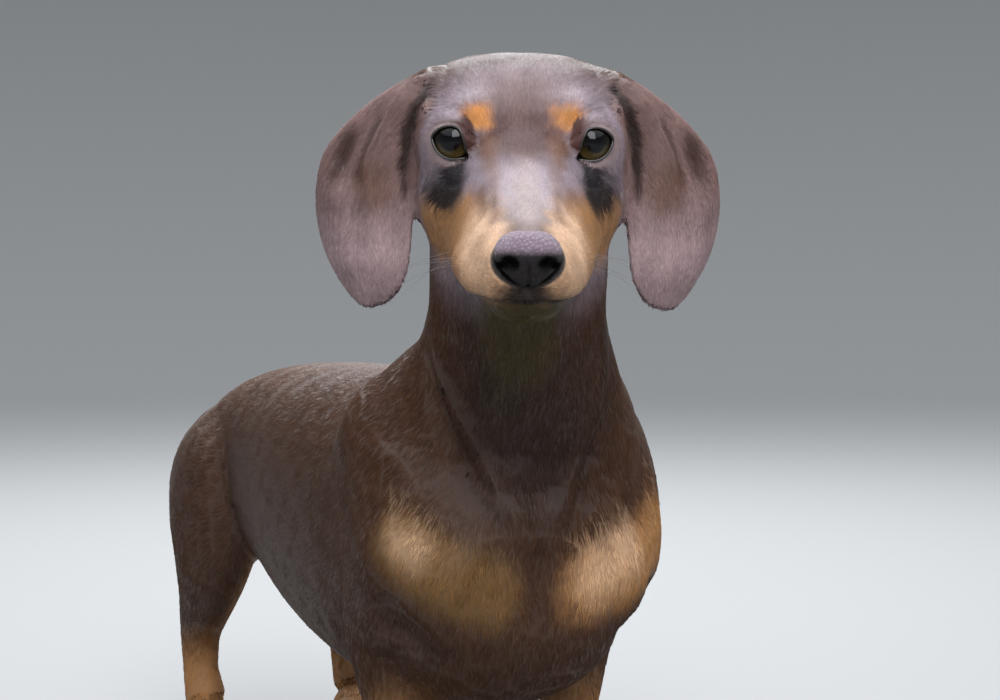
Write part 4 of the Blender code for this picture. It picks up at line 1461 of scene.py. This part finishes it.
# A claw from its foot to its tip: its radius, its share of that sideways, how much and how late it tapers,
# its arch, and the points along and round it.
CLAW_FOOT, CLAW_TIP, CLAW_RADIUS = (0, -7, -0.8), (0, -14.2, -5.2), 1.7
CLAW_FLAT, CLAW_TAPER, CLAW_BLUNT, CLAW_ARCH = 0.8, 0.82, 1.4, (0, 0, 3.2)
CLAW_POINTS, CLAW_SIDES = 10, 14
DEWCLAW_FOOT, DEWCLAW_TIP = (29, 2, 28), (26.5, -4, 21)


def claw(name, foot, tip, frame):
    """A curved, tapered horn from its foot to its tip."""
    t = np.linspace(0, 1, CLAW_POINTS)[:, None]
    line = foot * (1 - t) + tip * t + np.array(CLAW_ARCH) * (t * (1 - t))
    radii = CLAW_RADIUS * (1 - CLAW_TAPER * t[:, 0] ** CLAW_BLUNT)
    made = tube(name, line, radii, CLAW_SIDES, frame, CLAW_FLAT)
    return dress(made, tone("horn"), horn_material(), "claw")


def claws():
    for side, sign in SIDES.items():
        for foot, place, turn in (("fore", FOREPAW_PLACE, FOREPAW_TURN), ("hind", HINDPAW_PLACE, 0.0)):
            matrix = paw_frame(place, sign, turn)
            for number, (x, y) in enumerate(TOE_PLACES):
                toe = np.array((x, y, 0))
                claw("claw_%s_%s_%d" % (foot, side, number + 1), toe + CLAW_FOOT, toe + CLAW_TIP, matrix)
        dewclaw = mirrored(DEWCLAW_FOOT, sign), mirrored(DEWCLAW_TIP, sign)
        claw("dewclaw_" + side, *dewclaw, forelimb_frame(sign))


# The rows of whiskers: height, place of the first along the muzzle, and how many. Each starts within the
# jitter of its place, and its way and reach are drawn from these ranges.
WHISKER_ROWS = ((-9, -54, 2), (-13, -50, 2), (-16, -38, 2))
WHISKER_SIDE, WHISKER_STEP, WHISKER_JITTER = 26, 7, (-1, 1)
WHISKER_WAY, WHISKER_REACH = ((0.7, 1.1), (0.1, 0.5), (-0.5, 0.0)), (14, 28)
WHISKER_RADIUS, WHISKER_TAPER, WHISKER_BEND = 0.06, 0.8, (0, 0.25, -0.35)
WHISKER_POINTS, WHISKER_SIDES = 9, 5


def whiskers(tree):
    """A few fine whiskers on each side of the muzzle, as one mesh of tapered tubes."""
    draw = np.random.default_rng(SEED + 90)
    t = np.linspace(0, 1, WHISKER_POINTS)[:, None]
    radii = WHISKER_RADIUS * (1 - WHISKER_TAPER * t[:, 0])
    made = []
    for sign in SIDES.values():
        for level, front, count in WHISKER_ROWS:
            for number in range(count):
                along = front + WHISKER_STEP * number + draw.uniform(*WHISKER_JITTER)
                start = placed(HEAD, (sign * WHISKER_SIDE, along, level + draw.uniform(*WHISKER_JITTER)))
                root = np.array(tree.find_nearest(start)[0])
                way = unit(mirrored([draw.uniform(*part) for part in WHISKER_WAY], sign))
                reach = draw.uniform(*WHISKER_REACH)
                line = within(HEAD, root) + way * t * reach + np.array(WHISKER_BEND) * reach * t**2
                made.append(tube("whisker", line, radii, WHISKER_SIDES, HEAD))
    return dress(joined("whiskers", made), tone("whisker"), horn_material(), "tan_coat")


FLESH = ["head", "neck", "torso", "tail"]
FLESH += [name + "_" + side for name in ("ear", "foreleg", "hindleg", "forepaw", "hindpaw") for side in SIDES]

# The skin's colour is this share of the coat's over it.
SKIN_SHADE = 0.92


def skin():
    """The skin with its folds, its eyes' openings and its markings."""
    made = settle(fold(fewer_faces(fold(skin_body(), "body")), "head"))
    cutters = []
    for sign in SIDES.values():
        cutters += opening(sign)
    cut(made, cutters)
    made.name = "skin"
    return dress(made, markings(coordinates(made.data)) * SKIN_SHADE, skin_material(), "brown_coat", *FLESH)


body = skin()
skin_tree = BVHTree.FromPolygons(coordinates(body.data), corners(body.data).tolist())
coat(body)
for side, sign in SIDES.items():
    eyeball(side, sign)
    lid_rim(side, sign)
nose()
claws()
whiskers(skin_tree)


# A round floor, flat this far from the dog, that bends up to a wall of this height, in units.
FLOOR_RADIUS, WALL_BEND, WALL_HEIGHT = 2200, 1200, 2000
FLOOR_MIDDLE, FLOOR_RINGS, WALL_RINGS, FLOOR_POINTS = 200, 12, 16, 96


def studio_floor():
    """A round floor that curves up into a wall far from the dog."""
    profile = [(radius, 0.0) for radius in np.linspace(FLOOR_MIDDLE, FLOOR_RADIUS, FLOOR_RINGS)]
    for angle in np.linspace(0, math.pi / 2, WALL_RINGS)[1:]:
        profile.append((FLOOR_RADIUS + WALL_BEND * math.sin(angle), WALL_BEND * (1 - math.cos(angle))))
    profile.append((FLOOR_RADIUS + WALL_BEND, WALL_HEIGHT))
    side, front = rounded(FLOOR_POINTS, 2)
    rings = [[(r * x, r * y, z) for x, y in zip(side, front)] for r, z in profile]
    made = loft("floor", rings, Matrix.Identity(4), ends=(0,))
    made.data.flip_normals()
    made.data.shade_smooth()
    return made


floor = studio_floor()
floor_material, shader, nodes, links = principled("pale floor", 0.8)
shader.inputs["Base Color"].default_value = (0.24, 0.24, 0.235, 1)
floor.data.materials.append(floor_material)

CAMERA_TARGET = BODY @ (Vector((-5, -20, 193)) * U)
CAMERA_AZIMUTH, CAMERA_ELEVATION, CAMERA_DISTANCE = math.radians(-28), math.radians(3), 0.700
LENS = 68.4


def look_from(azimuth, elevation):
    return Vector((math.sin(azimuth) * math.cos(elevation), -math.cos(azimuth) * math.cos(elevation),
                   math.sin(elevation)))


camera = show(bpy.data.objects.new("camera", bpy.data.cameras.new("camera")))
camera.data.lens = LENS
camera.data.sensor_width = 36
camera.data.clip_start = 0.01
back = look_from(CAMERA_AZIMUTH, CAMERA_ELEVATION)
camera.location = CAMERA_TARGET + back * CAMERA_DISTANCE
camera.rotation_euler = back.to_track_quat("Z", "Y").to_euler()
bpy.context.scene.camera = camera

# The studio's soft dome of light is dim at the floor's level and bright overhead.
HORIZON_LIGHT, ZENITH_LIGHT = 0.06, 2.3
world = bpy.data.worlds.new("studio")
world.use_nodes = True
sky = world.node_tree.nodes["Background"]
sky.inputs["Color"].default_value = (0.88, 0.93, 1.0, 1)
direction = world.node_tree.nodes.new("ShaderNodeTexCoord")
height = world.node_tree.nodes.new("ShaderNodeSeparateXYZ")
dome = world.node_tree.nodes.new("ShaderNodeMapRange")
dome.inputs["To Min"].default_value = HORIZON_LIGHT
dome.inputs["To Max"].default_value = ZENITH_LIGHT
world.node_tree.links.new(direction.outputs["Generated"], height.inputs["Vector"])
world.node_tree.links.new(height.outputs["Z"], dome.inputs["Value"])
world.node_tree.links.new(dome.outputs["Result"], sky.inputs["Strength"])
bpy.context.scene.world = world
bpy.context.scene.view_settings.view_transform = "Standard"

# Soft lights: azimuth, elevation and distance from the dog, size, power and colour.
LIGHTS = (
    ("behind", 155, 52, 1.2, 1.2, 30, (0.94, 0.96, 1.0)),
    ("front", -18, 40, 1.2, 0.7, 11, (0.98, 0.98, 1.0)),
)
for name, azimuth, elevation, distance, size, power, colour in LIGHTS:
    lamp = bpy.data.lights.new(name, "AREA")
    lamp.energy = power
    lamp.size = size
    lamp.color = colour
    light = show(bpy.data.objects.new(name, lamp))
    back = look_from(math.radians(azimuth), math.radians(elevation))
    light.location = Vector((0, -0.05, 0.15)) + back * distance
    light.rotation_euler = back.to_track_quat("Z", "Y").to_euler()
